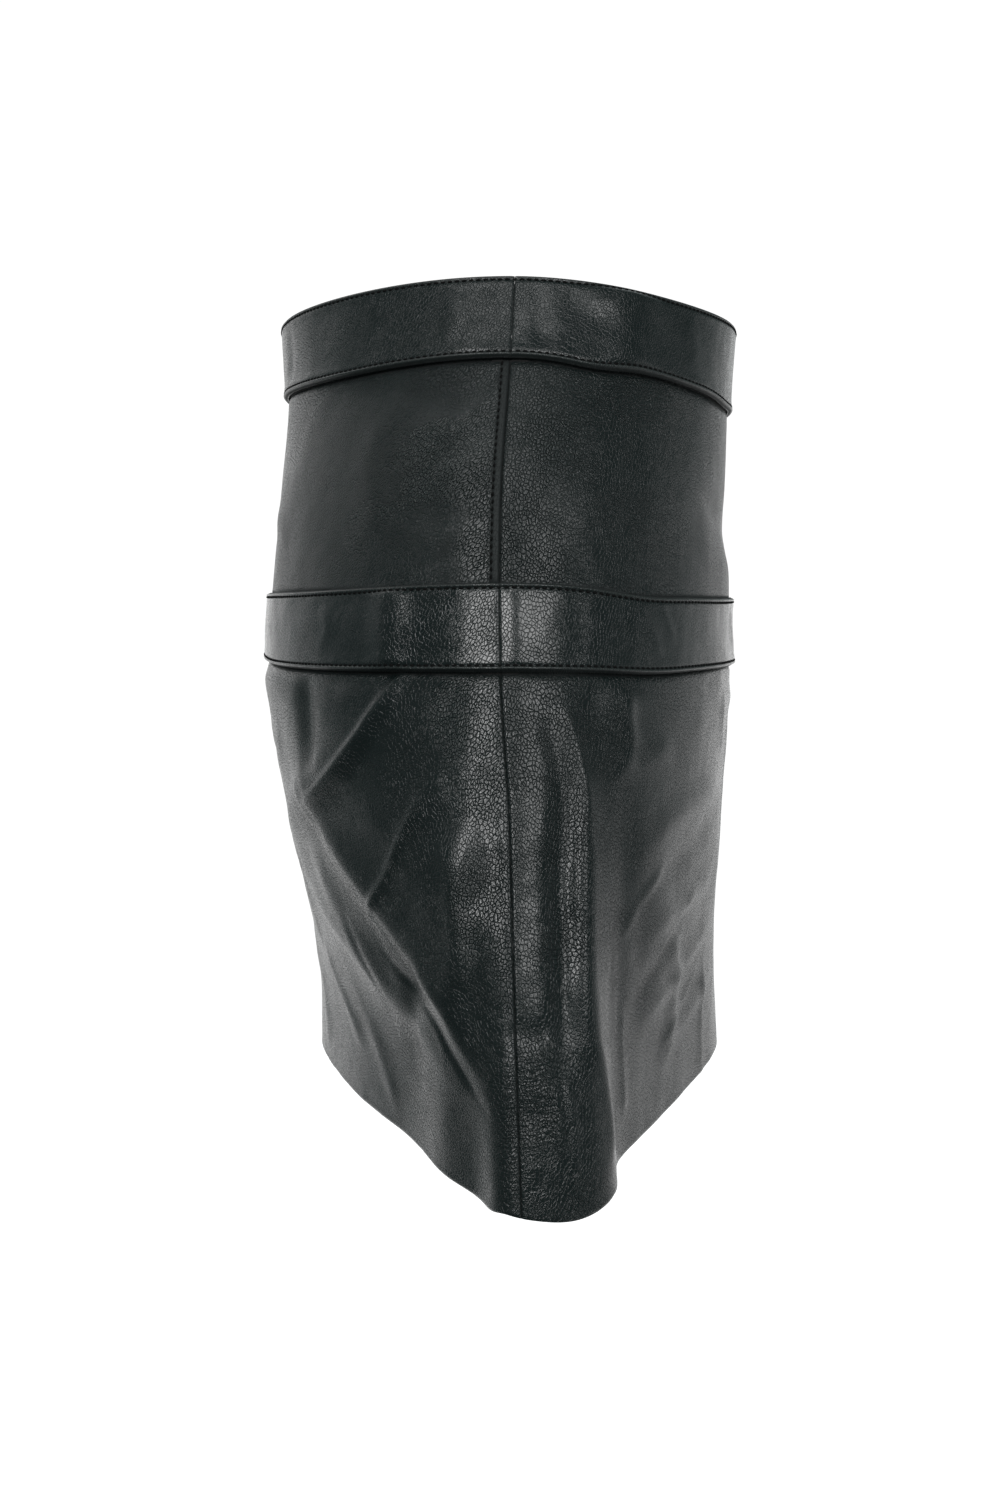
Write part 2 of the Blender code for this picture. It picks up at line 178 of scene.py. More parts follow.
# %% [markdown]
# ## Main folds
# The flare hangs in a few large soft folds. They are the same ones that the solids have, so the
# dressed skirt fills the same space. Each runs from a high end to a low one, with half its width
# in degrees and its rise in millimetres. One that is open grows until it meets the hem.

# %% Main folds
Fold = namedtuple(
    "Fold", "top_height top_angle low_height low_angle spread rise open_end", defaults=(False,)
)
FOLDS = [Fold(*row) for row in (
    (-158, -112, -262, -176, 9, 3.5),
    (-236, -170, -330, -104, 9, 3),
    (-195, -109, -345, -104, 7, 2.4),
    (-168, -77, -364.5, -74, 8.5, 15, True),
    (-180, -79, -318, -79, 4.5, -3.6),
    (-165, -60, -358, -38, 7, 1.8),
    (-255, -126, -364.5, -126, 17, -7, True),
    (-270, -101, -364.5, -103, 8, -6.5, True),
    (-160, 116, -252, 168, 10, 3),
    (-240, 160, -322, 108, 9, 2.8),
    (-205, 106, -350, 103, 7, 2.2),
    (-172, 78, -364.5, 73, 9, 12, True),
    (-190, 80, -300, 80, 5, -2.2),
    (-170, 55, -350, 36, 8, 1.8),
    (-260, 124, -364.5, 123, 17, -6, True),
    (-280, 100, -364.5, 102, 8, -5, True),
    (-175, -8, -340, -14, 8, 1.2),
    (-185, 14, -352, 10, 7, 1.4),
    (-40, 12, -110, -20, 12, -0.8),
    (-45, -165, -108, -150, 12, 0.8),
)]


def smooth_step(amount):
    amount = np.clip(amount, 0.0, 1.0)
    return amount * amount * (3.0 - 2.0 * amount)


def fold_rise(angles, heights):
    rise = np.zeros(np.broadcast(angles, heights).shape)
    for fold in FOLDS:
        down = (fold.top_height - heights) / (fold.top_height - fold.low_height)
        centre = fold.top_angle + down * (fold.low_angle - fold.top_angle)
        if fold.open_end:
            strength = smooth_step(down)
        else:
            strength = np.sin(np.pi * np.clip(down, 0.0, 1.0)) ** 2
        rise = rise + fold.rise * strength * bump(turn_from(angles, centre), fold.spread)
    return rise


def unit(vectors):
    return vectors / np.maximum(np.linalg.norm(vectors, axis=-1, keepdims=True), 1e-9)


STEP_ANGLE, STEP_HEIGHT = 0.23, 0.4


def outward_at(place, angles, heights):
    """The outward direction of a surface, from small steps round it and up it."""
    around = place(angles + STEP_ANGLE, heights) - place(angles - STEP_ANGLE, heights)
    upward = place(angles, heights + STEP_HEIGHT) - place(angles, heights - STEP_HEIGHT)
    return unit(np.cross(around, upward))


def folded_points(angles, heights):
    outward = outward_at(section_points, angles, heights)
    return section_points(angles, heights) + outward * fold_rise(angles, heights)[..., None]


print(len(FOLDS), "main folds, the deepest", max(abs(fold.rise) for fold in FOLDS), "mm")

# %% [markdown]
# ## Small creases
# Leather remembers where it was bent: soft ridges with a tighter trough beside them, short
# wrinkles under the hip band and drag lines down the flare. No two are alike, so they are listed
# one by one. Each crease is a line of (angle, height) points drawn on the body, a width on the
# cloth in millimetres, a rise, and a lean that makes one flank steeper than the other. Distances
# are measured on the cloth itself, so a crease keeps its width where the section turns sharply.

# %% Crease table
Crease = namedtuple("Crease", "width rise lean path")


def creases(*rows):
    """Creases from rows: width, rise, lean, and a path as an angle and a height in turn."""
    return [Crease(*row[:3], np.reshape(row[3:], (-1, 2)).astype(float)) for row in rows]


CREASES = {"skirt": creases(
    # Wearer's right flank, back panel.
    (4.2, 2.8, 0.25, -107, -143, -111, -153, -114, -162, -118, -172, -122, -182, -128, -194, -136,
     -207, -146, -220),
    (9, -2.6, 0, -137, -152, -138, -168, -139, -182, -140, -196, -142, -206),
    (5, -0.6, 0, -113, -166, -118, -180, -122, -191, -129, -202),
    (9, 3.2, 0.2, -144, -192, -142, -206, -139, -220, -134, -234, -127, -247, -120, -260, -115,
     -270, -110, -280, -105, -290, -102, -302, -97, -316, -90, -332),
    (3, 1, 0, -149, -196, -145, -210, -142, -223, -137, -238, -131, -250, -124, -264, -119, -276,
     -114, -285, -109, -293),
    (8, 1.6, 0, -150, -238, -144, -256, -137, -270, -130, -282, -124, -296),
    (2, -0.9, 0, -129, -270, -123, -279, -118, -287, -113, -293, -109, -300, -106, -310, -101, -322,
     -93, -331),
    (4.5, 1, 0, -160, -284, -159, -302, -153, -318, -145, -338),
    (3, -0.8, 0, -139, -262, -134, -278, -130, -295, -130, -312),
    (2.6, 1.2, 0, -105, -193, -108, -204, -111, -214, -114, -224, -118, -237, -123, -251, -130,
     -270),
    (6, 0.8, 0, -103, -194, -107, -207, -110, -221),
    (9, 3.1, 0.3, -104, -212, -103, -222, -102, -234, -101.5, -248, -101.5, -262, -102, -276, -103,
     -290),
    (6, -1, 0, -99, -226, -99, -245, -98, -265, -98, -285, -98, -306),
    (8, -1.6, 0, -113, -266, -116, -284, -118, -296, -122, -314, -126, -336),
    (3, 0.7, 0, -166, -238, -164, -257, -165, -275, -162, -302),
    (6, 0.8, 0, -150, -296, -142, -320, -136, -342, -132, -362),
    (6, 1, 0, -176, -290, -170, -322, -168, -358),
    (9, -1.6, 0, -94, -182, -94, -204, -94, -220, -94, -236, -94, -262),
    (5, -0.5, 0, -100, -158, -102, -168, -105, -180),
    # Wearer's right flank, front panel.
    (8, -0.7, 0, -87, -172, -86, -204, -86, -228, -86, -252, -86, -282),
    (5.5, -1.7, 0, -84, -156, -81, -180, -79, -196, -78.5, -208, -78.5, -222, -79, -240, -79, -258,
     -80, -281, -81, -308, -81, -332),
    (6, 2.3, 0, -79, -158, -77, -176, -75.5, -192, -74, -206, -74, -222, -74.5, -240, -75, -258,
     -76, -281, -76, -304, -76, -330),
    (2.2, 0.7, 0, -79, -164, -76.5, -180, -75, -194, -74, -208, -75, -226),
    (8, -1.8, 0, -66, -198, -64, -214, -63, -232, -63, -252, -63, -274, -62, -296, -60, -322),
    (4.5, 1.7, 0, -69, -156, -65, -164, -64, -173, -63, -184, -65, -193, -69, -200),
    (6, 0.8, 0, -49, -184, -53, -188, -59, -192, -67, -198),
    (8, -1.2, 0, -73, -156, -72, -168, -71, -184),
    (8, 1.4, 0, -18, -208, -34, -213, -48, -219, -56, -228, -62, -244),
    (7, 1.4, 0, -14, -252, -28, -258, -40, -262, -49, -266, -56, -273),
    (6, 1.2, 0, -14, -280, -28, -291, -38, -298, -46, -304, -54, -316),
    (6, 1.1, 0, -9, -310, -20, -318, -28, -323, -34, -328, -44, -336),
    (7, -1.3, 0, -22, -228, -36, -236, -48, -243, -57, -250),
    (8, 1.8, 0, -44, -266, -39, -286, -36, -306, -37, -326, -40, -342),
    (6, -0.5, 0, -59, -242, -57, -256, -56, -270, -55, -288),
    (6, -1.4, 0, -34, -262, -44, -278, -52, -294, -57, -312),
    (3, 0.8, 0, -49, -237, -58, -254, -63, -271),
    (3, 0.8, 0, -30, -256, -44, -272, -52, -290),
    (3, 0.7, 0, -20, -300, -33, -316, -44, -332),
    (4, 1.3, 0, -60, -292, -60, -312, -59, -330, -58, -352),
    (4, -1.2, 0, -68, -300, -67, -318, -68, -336, -70, -352),
    (5, 0.7, 0, -24, -166, -22, -182, -20, -200),
    (4, 0.8, 0, -19, -292, -17, -326, -17, -368),
    (5, -0.9, 0, -90, -290, -87, -296, -82, -297),
    (5, -0.7, 0, -90, -322, -87, -326, -83, -325),
    (2, 0.6, 0, -83, -314, -82, -328, -82, -344),
    (2, 0.6, 0, -81, -310, -80, -334, -80, -360),
    (4, 0.9, 0, -76, -296, -74, -318, -73, -335, -73, -356),
    # Wearer's left flank.
    (4.6, 2.5, -0.25, 104, -146, 109, -158, 115, -170, 122, -184, 131, -200, 142, -216),
    (8, -1.4, 0, 122, -154, 129, -172, 137, -190, 146, -206),
    (2.8, 1.1, 0, 103, -198, 108, -216, 115, -238, 126, -262),
    (8.5, 2.9, -0.2, 150, -196, 146, -214, 139, -232, 130, -250, 121, -266, 113, -282, 107, -300,
     100, -318, 93, -334),
    (3, 1, 0, 152, -204, 146, -224, 137, -244, 126, -264, 116, -284, 108, -304),
    (7, 2.2, -0.3, 104, -216, 103, -240, 104, -266, 106, -294),
    (4.5, -1.1, 0, 126, -314, 114, -334, 102, -350),
    (5.5, 1.8, 0, 80, -160, 77, -182, 74, -202, 74, -224, 75, -252, 76, -284, 75, -326),
    (4.5, -1.2, 0, 81, -204, 78, -244, 77, -290),
    (3, 0.7, 0, 58, -170, 60, -186, 57, -204),
    (5, 0.8, 0, 50, -214, 46, -262, 42, -318),
    (4, -0.8, 0, 56, -240, 51, -286, 47, -330),
    (4.5, 0.8, 0, 28, -228, 25, -282, 24, -368),
    (6, 1, 0, 150, -306, 136, -330, 124, -366),
    # Centre front and centre back.
    (7, 1.3, 0, -6, -160, -9, -196, -6, -236, -8, -276),
    (6, 1.2, 0, 22, -168, 16, -200, 12, -236, 14, -280),
    (5, -0.7, 0, 6, -196, 3, -262, 5, -336),
    (7, 1.5, 0, -178, -160, 176, -186, 173, -216, 175, -250),
    (6, -1.2, 0, -166, -176, -172, -212, -176, -256, -174, -300),
    (5, 1.4, 0, 158, -158, 162, -180, 170, -204, 182, -226),
    (5, 0.9, 0, 160, -292, 156, -330, 158, -368),
), "yoke": creases(
    (9, 0.8, 0, -116, -30, -122, -62, -118, -98),
    (7, -0.7, 0, -104, -44, -108, -70, -103, -104),
    (8, 0.6, 0, -74, -34, -70, -66, -76, -100),
    (6, -0.6, 0, -62, -40, -60, -72, -64, -102),
    (5, -0.8, 0, -40, -72, -24, -84, -6, -88),
    (7, 0.6, 0, -44, -94, -26, -104, -4, -106),
    (6, 0.7, 0, -150, -96, -160, -84, -174, -80),
    (8, 0.7, 0, 112, -32, 119, -66, 113, -100),
    (7, -0.6, 0, 72, -38, 76, -70, 71, -102),
    (6, -0.7, 0, 42, -66, 28, -80, 10, -84),
    (6, 0.6, 0, 148, -94, 162, -86, 178, -84),
), "hip_band": creases(
    (2.6, 0.5, 0, -62, -120, -59, -134, -55, -150),
    (2.2, 0.4, 0, -56, -119, -54, -131, -51, -143),
    (3, -0.45, 0, -66, -121, -65, -136, -63, -149),
    (5, -0.4, 0, -76, -108, -76, -134, -77, -164),
    (9, 3, 0, -114, -100, -114, -136, -114, -172),
    (4, 0.4, 0, -89, -104, -89, -136, -89, -168),
    (3, 0.4, 0, -132, -122, -130, -136, -134, -148),
    (3, 0.5, 0, 60, -119, 58, -134, 61, -149),
    (4, -0.4, 0, 82, -120, 84, -148),
    (3, 0.4, 0, 128, -121, 131, -147),
    (3.5, 0.4, 0, 14, -124, 16, -148),
    (3.5, 0.4, 0, -20, -124, -18, -149),
    (3.5, 0.4, 0, 172, -120, 170, -147),
), "waistband": creases(
    (5, -0.6, 0, -158, 10, -156, -4, -159, -16),
    (5, 0.5, 0, -104, 14, -102, 0, -105, -15),
    (15, 3, 0, -64, 36, -63, 4, -63, -32),
    (9, 1.3, 0, -78, 11, -70, 10, -60, 9, -50, 8),
    (4, -0.4, 0, -83, 15, -84, -2, -83, -16),
    (6, 0.5, 0, -46, 10, -42, -8, -45, -20),
    (5, -0.5, 0, 48, 12, 45, -6, 48, -20),
    (5, 0.5, 0, 108, 12, 105, -14),
    (5, -0.4, 0, 150, 12, 154, -14),
    (6, 0.4, 0, 4, 8, 2, -18),
)}
print(sum(len(rows) for rows in CREASES.values()), "creases placed by hand")

# %% [markdown]
# A crease's few points are joined by a smooth curve and laid on the body. For each point of the
# cloth the nearest place on that curve gives two numbers: how far away it is, which sets the
# height of the soft bump, and how far along it is, which lets the crease fade in and out.

# %% Crease shapes
PATH_STEPS = 7
CREASE_REACH = 3.0
CREASE_FADE = 0.28
FAR = 1e9


def path_on_body(path):
    """A smooth line through a crease's points, in millimetres."""
    padded = np.vstack([2 * path[0] - path[1], path, 2 * path[-1] - path[-2]])
    steps = np.linspace(0.0, 1.0, PATH_STEPS, endpoint=False)[:, None]
    pieces = []
    for i in range(1, len(padded) - 2):
        p0, p1, p2, p3 = padded[i - 1 : i + 3]
        pieces.append(
            0.5 * (2 * p1 + (p2 - p0) * steps + (2 * p0 - 5 * p1 + 4 * p2 - p3) * steps**2
                   + (3 * p1 - p0 - 3 * p2 + p3) * steps**3)
        )
    smooth = np.vstack([*pieces, path[-1:]])
    return folded_points(smooth[:, 0], smooth[:, 1])


def crease_rise(piece, points, outward):
    """How far the small creases of one kind of piece lift its points, in millimetres."""
    flat = points.reshape(-1, 3)
    normals = outward.reshape(-1, 3)
    rise = np.zeros(len(flat))
    for crease in CREASES[piece]:
        line = path_on_body(crease.path)
        reach = CREASE_REACH * crease.width
        near = np.all((flat > line.min(axis=0) - reach) & (flat < line.max(axis=0) + reach), axis=1)
        if not near.any():
            continue
        here, facing = flat[near], normals[near]
        best, along, side = np.full(len(here), FAR), np.zeros(len(here)), np.zeros(len(here))
        starts, ends = line[:-1], line[1:]
        lengths = np.linalg.norm(ends - starts, axis=1)
        before = np.concatenate([[0.0], np.cumsum(lengths)])
        for k, (start, end) in enumerate(zip(starts, ends)):
            run = end - start
            t = np.clip((here - start) @ run / (run @ run), 0.0, 1.0)
            off = here - (start + t[:, None] * run)
            distance = np.linalg.norm(off, axis=1)
            closer = distance < best
            best[closer] = distance[closer]
            along[closer] = (before[k] + t[closer] * lengths[k]) / before[-1]
            side[closer] = np.sign(np.einsum("ij,ij->i", np.cross(run, off), facing))[closer]
        width = crease.width * (1.0 + crease.lean * side)
        fade = smooth_step(along / CREASE_FADE) * smooth_step((1.0 - along) / CREASE_FADE)
        rise[near] += crease.rise * fade * bump(best, width)
    return rise.reshape(points.shape[:-1])


# %% [markdown]
# ## Leather is never quite even
# Between its creases a hide is slightly uneven, and stitching draws it into shallow puckers. A
# few dozen long waves in fixed directions add up to gentle unevenness with no visible repeat.

# %% Gentle unevenness
WHOLE_TURN = 6.283


def waves(points, longest, shortest, seed, count=28):
    """Smooth unevenness from -1 to 1 or so, with wavelengths between two sizes in millimetres."""
    chance = np.random.default_rng(seed)
    total = np.zeros(points.shape[:-1])
    for _ in range(count):
        direction = unit(chance.normal(size=3))
        length = shortest * (longest / shortest) ** chance.random()
        total += np.sin(points @ direction * 2.0 * np.pi / length + chance.random() * WHOLE_TURN)
    return total / math.sqrt(count)


def unevenness(points):
    """Long and short swells of a hide, in millimetres."""
    return 0.16 * waves(points, 70.0, 26.0, 11) + 0.05 * waves(points, 24.0, 9.0, 12)


scattered = np.random.default_rng(1).normal(size=(500, 3)) * 100
print("unevenness spread:", round(float(unevenness(scattered).std()), 2), "mm")

# %% [markdown]
# ## Cut pieces
# A cut piece is a grid of points: columns from side seam to side seam, and rows from its low
# edge to its top edge. Columns are drawn together near the seams and rows near the edges, where
# the sewing shapes the leather, so that few faces are spent on the plain middle. A piece ends up
# as two layers, outer and inner, closed round the rim: leather with its thickness.

# %% Grids
SEAM_GAP = 0.3
PANEL_THICKNESS = 1.2
BAND_THICKNESS = 2.0
BAND_LIFT = SEAM_GAP + BAND_THICKNESS
YOKE_UNDER_WAISTBAND = 10.0
HIP_BAND_HALF = 0.5 * (EDGES["hip_top"].side - EDGES["hip_low"].side)
HALF_JOIN = 0.1
ZIP_OPENING = 1.6
SHUT_SEAM = 0.06
COLUMN_BUNCHING = 0.55

Cut = namedtuple("Cut", "top low top_shift low_shift columns fine_low fine_top coarse")
EDGE_ROWS = (0.0, 0.15, 0.35, 0.6, 0.9, 1.2, 1.5, 1.8, 2.0, 2.2, 2.4, 2.6, 2.9, 3.3, 3.9, 4.8)
HEM_ROWS = (0.0, 0.2, 0.45, 0.8, 1.3, 2.0, 2.9)
PLAIN_ROWS = (0.0, 1.2)
CUTS = {
    "waistband": Cut("waistband_top", "waistband_low", 0.0, 0.0, 250, EDGE_ROWS, EDGE_ROWS, 1.7),
    "yoke": Cut("waistband_low", "hip_low", YOKE_UNDER_WAISTBAND, HIP_BAND_HALF + HALF_JOIN,
                220, PLAIN_ROWS, PLAIN_ROWS, 1.8),
    "hip_band": Cut("hip_top", "hip_low", 0.0, 0.0, 290, EDGE_ROWS, EDGE_ROWS, 1.7),
    "skirt": Cut("hip_low", "hem", HIP_BAND_HALF - HALF_JOIN, 0.0,
                 330, HEM_ROWS, PLAIN_ROWS, 1.75),
}


def row_places(cut):
    """How far up each row is, from 0 at the low edge to 1 at the top edge."""
    length = EDGES[cut.top].side + cut.top_shift - EDGES[cut.low].side - cut.low_shift
    start, end = cut.fine_low[-1], length - cut.fine_top[-1]
    spacing = cut.coarse * 1.0
    middle = np.linspace(start, end, max(2, round((end - start) / spacing)) + 1)[1:-1]
    rows = np.concatenate([cut.fine_low, middle, length - np.array(cut.fine_top[::-1])])
    return rows / length


def cut_grid(piece, half):
    """(angles, heights, distances from the low edge and from the top edge) of a cut piece."""
    cut = CUTS[piece]
    upward = row_places(cut)[:, None]
    columns = cut.columns
    across = np.linspace(0.0, 1.0, columns + 1)[None, :]
    eased = across - COLUMN_BUNCHING * np.sin(2.0 * np.pi * across) / (2.0 * np.pi)
    low, top = EDGES[cut.low], EDGES[cut.top]
    side_height = (low.side + cut.low_shift) * (1.0 - upward) + (top.side + cut.top_shift) * upward
    right, left = seam_angles(-1, side_height), seam_angles(1, side_height)
    right_turn = turn_for(SHUT_SEAM / 2, right, side_height)
    left_gap = ZIP_OPENING if piece == "waistband" else SHUT_SEAM
    left_turn = turn_for(left_gap / 2, left, side_height)
    if half == "front":
        start, end = right + right_turn, left - left_turn
    else:
        start, end = left + left_turn, right - right_turn + 360.0
    angles = start + (end - start) * eased
    low_heights = edge_heights(low, angles) + cut.low_shift
    top_heights = edge_heights(top, angles) + cut.top_shift
    heights = low_heights + (top_heights - low_heights) * upward
    return angles, heights, heights - low_heights, top_heights - heights


def turn_for(distance, angles, heights):
    """The turn in degrees that moves a point by a distance along the surface."""
    ahead, behind = angles + STEP_ANGLE, angles - STEP_ANGLE
    around = section_points(ahead, heights) - section_points(behind, heights)
    return distance * 2.0 * STEP_ANGLE / np.linalg.norm(around, axis=-1)


def grid_outward(points):
    return unit(np.cross(np.gradient(points, axis=1), np.gradient(points, axis=0)))


def from_ends(points):
    """Each point's distance along its row from both ends of the row."""
    steps = np.linalg.norm(np.diff(points, axis=1), axis=-1)
    run = np.concatenate([np.zeros((len(points), 1)), np.cumsum(steps, axis=1)], axis=1)
    return run, run[:, -1:] - run


print({name: len(row_places(cut)) for name, cut in CUTS.items()}, "rows")

# %% [markdown]
# ## What sewing does to an edge
# The bands have turned edges with a line of stitching just inside. The turned leather outside
# the stitching puffs up into a soft roll, and the thread pulls a small groove. At its very edge
# the roll comes down to the panel below. The profile is a short sum of bumps of the distance
# from the edge, which is easy to read and to adjust.

# %% Edge profiles
Rim = namedtuple("Rim", "inset drop roll")
STITCH_INSET = 2.3
TOP_STITCH_INSET = 1.9
THREAD_DENT = 0.22
SWELL_INSIDE = 0.12
# The low and the top edge of each band.
RIMS = {
    "waistband": (Rim(STITCH_INSET, 1.25, 0.50), Rim(TOP_STITCH_INSET, 0.75, 0.18)),
    "hip_band": (Rim(STITCH_INSET, 1.25, 0.50), Rim(STITCH_INSET, 1.25, 0.45)),
}


def fading(distance, reach):
    """1 at an edge, fading to 0 within a reach of it."""
    return 1.0 - smooth_step(distance / reach)


def rolled_edge(distance, rim):
    """The rise of a turned and stitched edge, by the distance from it."""
    return (
        -rim.drop * fading(distance, 1.0)
        + rim.roll * bump(distance - 0.52 * rim.inset, 0.34 * rim.inset)
        - THREAD_DENT * bump(distance - rim.inset, 0.45)
        + SWELL_INSIDE * bump(distance - rim.inset - 1.7, 1.0)
    )


def sewn_end(distance, depth=0.6, width=0.5):
    """The dip where a panel turns in to its seam."""
    return -depth * bump(np.maximum(distance, 0.0), width)


profile = rolled_edge(np.array([0.0, 0.6, 1.2, 2.3, 4.0]), RIMS["hip_band"][1])
print("rolled edge, mm:", np.round(profile, 2))

# %% [markdown]
# The yoke's right side seam is lapped: its allowance lies under the back panel and is stitched
# down a few millimetres from the seam, which leaves a flat, duller strip beside it. The hem is
# folded and glued, so it has no stitching and only a soft edge.

# %% Outer and inner faces
LAP_WIDTH = 3.7
SEWING_AND_PAINTED_LIGHT_MARKS = ("groove", "pressed", "worn", "wrinkled")
PUCKER = 0.045
BESIDE_STITCH = 0.9
DIP_UNDER_BAND = 1.5
WRINKLE_REACH, WRINKLES_TOP = 26.0, -285.0


def dress(piece, half):
    """(outer points, inner points, marks) of a cut piece, in millimetres."""
    angles, heights, above_low, below_top = cut_grid(piece, half)
    body = folded_points(angles, heights)
    outward = grid_outward(body)
    from_start, from_end = from_ends(body)
    seam = np.minimum(from_start, from_end)
    rise = crease_rise(piece, body, outward) + unevenness(body)
    marks = {key: np.zeros_like(rise) for key in SEWING_AND_PAINTED_LIGHT_MARKS}
    # Painted shade: the groove mark darkens the colour along the side seams.
    marks["groove"] += 0.9 * bump(seam, 0.4)
    if piece in RIMS:
        rise, inner_lift = dress_band(piece, body, above_low, below_top, seam, rise, marks)
        outer_lift = BAND_LIFT + rise
    else:
        # The right side seam is where a front piece starts and where a back piece ends.
        right_seam = from_start if half == "front" else from_end
        rise += sewn_end(seam)
        if piece == "yoke":
            below_band = below_top - YOKE_UNDER_WAISTBAND
            above_hip_band = heights - edge_heights(EDGES["hip_top"], angles)
            # Painted shade: a darker colour just under the waistband's edge and just above the hip
            # band.
            marks["groove"] += fading(below_band, 1.7) + fading(above_hip_band, 1.4)
        else:
            below_band = below_top - HIP_BAND_HALF
            # Painted shade: a darker colour just under the hip band's edge.
            marks["groove"] += fading(below_band, 1.8)
            low_down = smooth_step((WRINKLES_TOP - heights) / 25.0)
            low_down *= smooth_step((heights + 366.0) / 12.0)
            marks["wrinkled"] += smooth_step((WRINKLE_REACH - seam) / 14.0) * low_down
        rise -= DIP_UNDER_BAND * bump(below_band - 0.2, 1.0)
        if piece == "yoke" and half == "back":
            lap = smooth_step((LAP_WIDTH - right_seam) / 0.7)
            lap *= smooth_step((right_seam - 0.2) / 0.8)
            rise += 0.22 * lap - 0.40 * bump(right_seam - LAP_WIDTH, 0.40)
            # Painted shade along the lap's stitch line; the lapped strip is given a darker colour
            # too.
            marks["groove"] += 0.8 * bump(right_seam - LAP_WIDTH, 0.45) + 0.4 * lap
            marks["pressed"] += smooth_step((LAP_WIDTH - right_seam) / 0.5)
        if piece == "skirt":
            rise += 0.12 * bump(above_low - 1.6, 1.0) - 0.35 * fading(above_low, 0.8)
        outer_lift, inner_lift = rise, rise - PANEL_THICKNESS
        if piece == "skirt":
            inner_lift = inner_lift + 0.55 * fading(above_low, 0.8)
    outer = body + outward * outer_lift[..., None]
    inner = body + outward * inner_lift[..., None]
    marks = {key: np.clip(values, 0, 1) for key, values in marks.items()}
    marks["across"], marks["up"] = from_start, heights
    return outer, inner, marks


def dress_band(piece, body, above_low, below_top, seam, rise, marks):
    """(rise of the outer face, lift of the inner face) of a band. It adds to the marks."""
    low, top = RIMS[piece]
    rise = rise * smooth_step((np.minimum(above_low, below_top) + 1.0) / 6.0)
    near_stitch = np.zeros_like(rise)
    for rim, distance in ((low, above_low), (top, below_top)):
        rise += rolled_edge(distance, rim)
        near_stitch += bump(distance - rim.inset - BESIDE_STITCH, 1.7)
        # Painted shade along each stitch line.
        marks["groove"] += 0.5 * bump(distance - rim.inset, 0.4)
        marks["pressed"] += 0.3 * bump(distance - 0.4 * rim.inset, 0.9)
    rise += PUCKER * waves(body, 9.0, 5.5, 21, count=14) * near_stitch
    rise += sewn_end(seam, 0.45, 0.45)
    # Painted shade on the last millimetre of each band edge.
    marks["groove"] += fading(above_low - 0.2, 0.7) + 0.9 * fading(below_top - 0.3, 0.9)
    # Painted highlight: the rolled edges are lightened grey along the roll.
    marks["worn"] += bump(above_low - 0.55 * low.inset, 0.55)
    marks["worn"] += 0.8 * bump(below_top - 0.45 * top.inset, 0.55)
    inner_lift = np.full_like(rise, SEAM_GAP)
    if piece == "waistband":
        inner_lift += 0.45 * fading(below_top, 1.0)
    return rise, inner_lift


outer, inner, marks = dress("hip_band", "front")
print("hip band front:", outer.shape[1], "columns,", outer.shape[0], "rows")

# %% [markdown]
# ## Leather
# Black semi-gloss leather is mostly reflection: its colour is nearly black, and the light
# catches the soft cells of the grain. The cells come from a Voronoi pattern that lies on the cut
# piece's own measurements, one unit of its UV map to one metre of hide, so the grain keeps its
# size. Slow noise changes the grain's depth and the gloss from place to place, and the marks
# stored on the points are read here: grooves at seams, stitching and band edges, where painted
# shade darkens the colour, pressed strips, and the painted highlight on the rolled edges.

# %% Material helpers
FLAT = {"noise_dimensions": "2D"}


def new_material(name, colour, roughness, metallic=0.0):
    material = bpy.data.materials.new(name)
    material.use_nodes = True
    shader = material.node_tree.nodes["Principled BSDF"]
    shader.inputs["Base Color"].default_value = (*colour, 1.0)
    shader.inputs["Roughness"].default_value = roughness
    shader.inputs["Metallic"].default_value = metallic
    return material, material.node_tree, shader


def add(tree, kind, settings=(), **inputs):
    """A node with its settings, and inputs that are numbers or other nodes' sockets.

    An input is given by its name, or by the letter i and its number where names are shared."""
    node = tree.nodes.new(kind)
    for key, value in dict(settings).items():
        setattr(node, key, value)
    for key, value in inputs.items():
        socket = node.inputs[int(key[1:]) if key[1:].isdigit() else key]
        if isinstance(value, bpy.types.NodeSocket):
            tree.links.new(value, socket)
        else:
            socket.default_value = value
    return node


def maths(tree, operation, first, second=0.0, third=0.0, clamp=False):
    settings = {"operation": operation, "use_clamp": clamp}
    return add(tree, "ShaderNodeMath", settings, i0=first, i1=second, i2=third).outputs[0]


def spread(tree, value, low, high, new_low, new_high):
    """A value between two limits, moved on an even curve to between two others."""
    settings = {"interpolation_type": "SMOOTHSTEP"}
    limits = {"i1": low, "i2": high, "i3": new_low, "i4": new_high}
    return add(tree, "ShaderNodeMapRange", settings, i0=value, **limits).outputs[0]


def blend(tree, share, first, second):
    """A colour between two: the first at 0, the second at 1."""
    node = add(tree, "ShaderNodeMix", {"data_type": "RGBA"}, i0=share, i6=first, i7=second)
    return node.outputs[2]


def noise(tree, place, scale, detail, roughness=0.5, output="Fac"):
    sizes = {"Scale": scale, "Detail": detail, "Roughness": roughness}
    return add(tree, "ShaderNodeTexNoise", FLAT, Vector=place, **sizes).outputs[output]


def moved(tree, place, turn=0.0, scale=(1.0, 1.0, 1.0)):
    turn = (0.0, 0.0, turn)
    return add(tree, "ShaderNodeMapping", Vector=place, Rotation=turn, Scale=scale).outputs[0]


def vectors(tree, operation, *values):
    inputs = {f"i{i}": value for i, value in enumerate(values)}
    return add(tree, "ShaderNodeVectorMath", {"operation": operation}, **inputs).outputs[0]


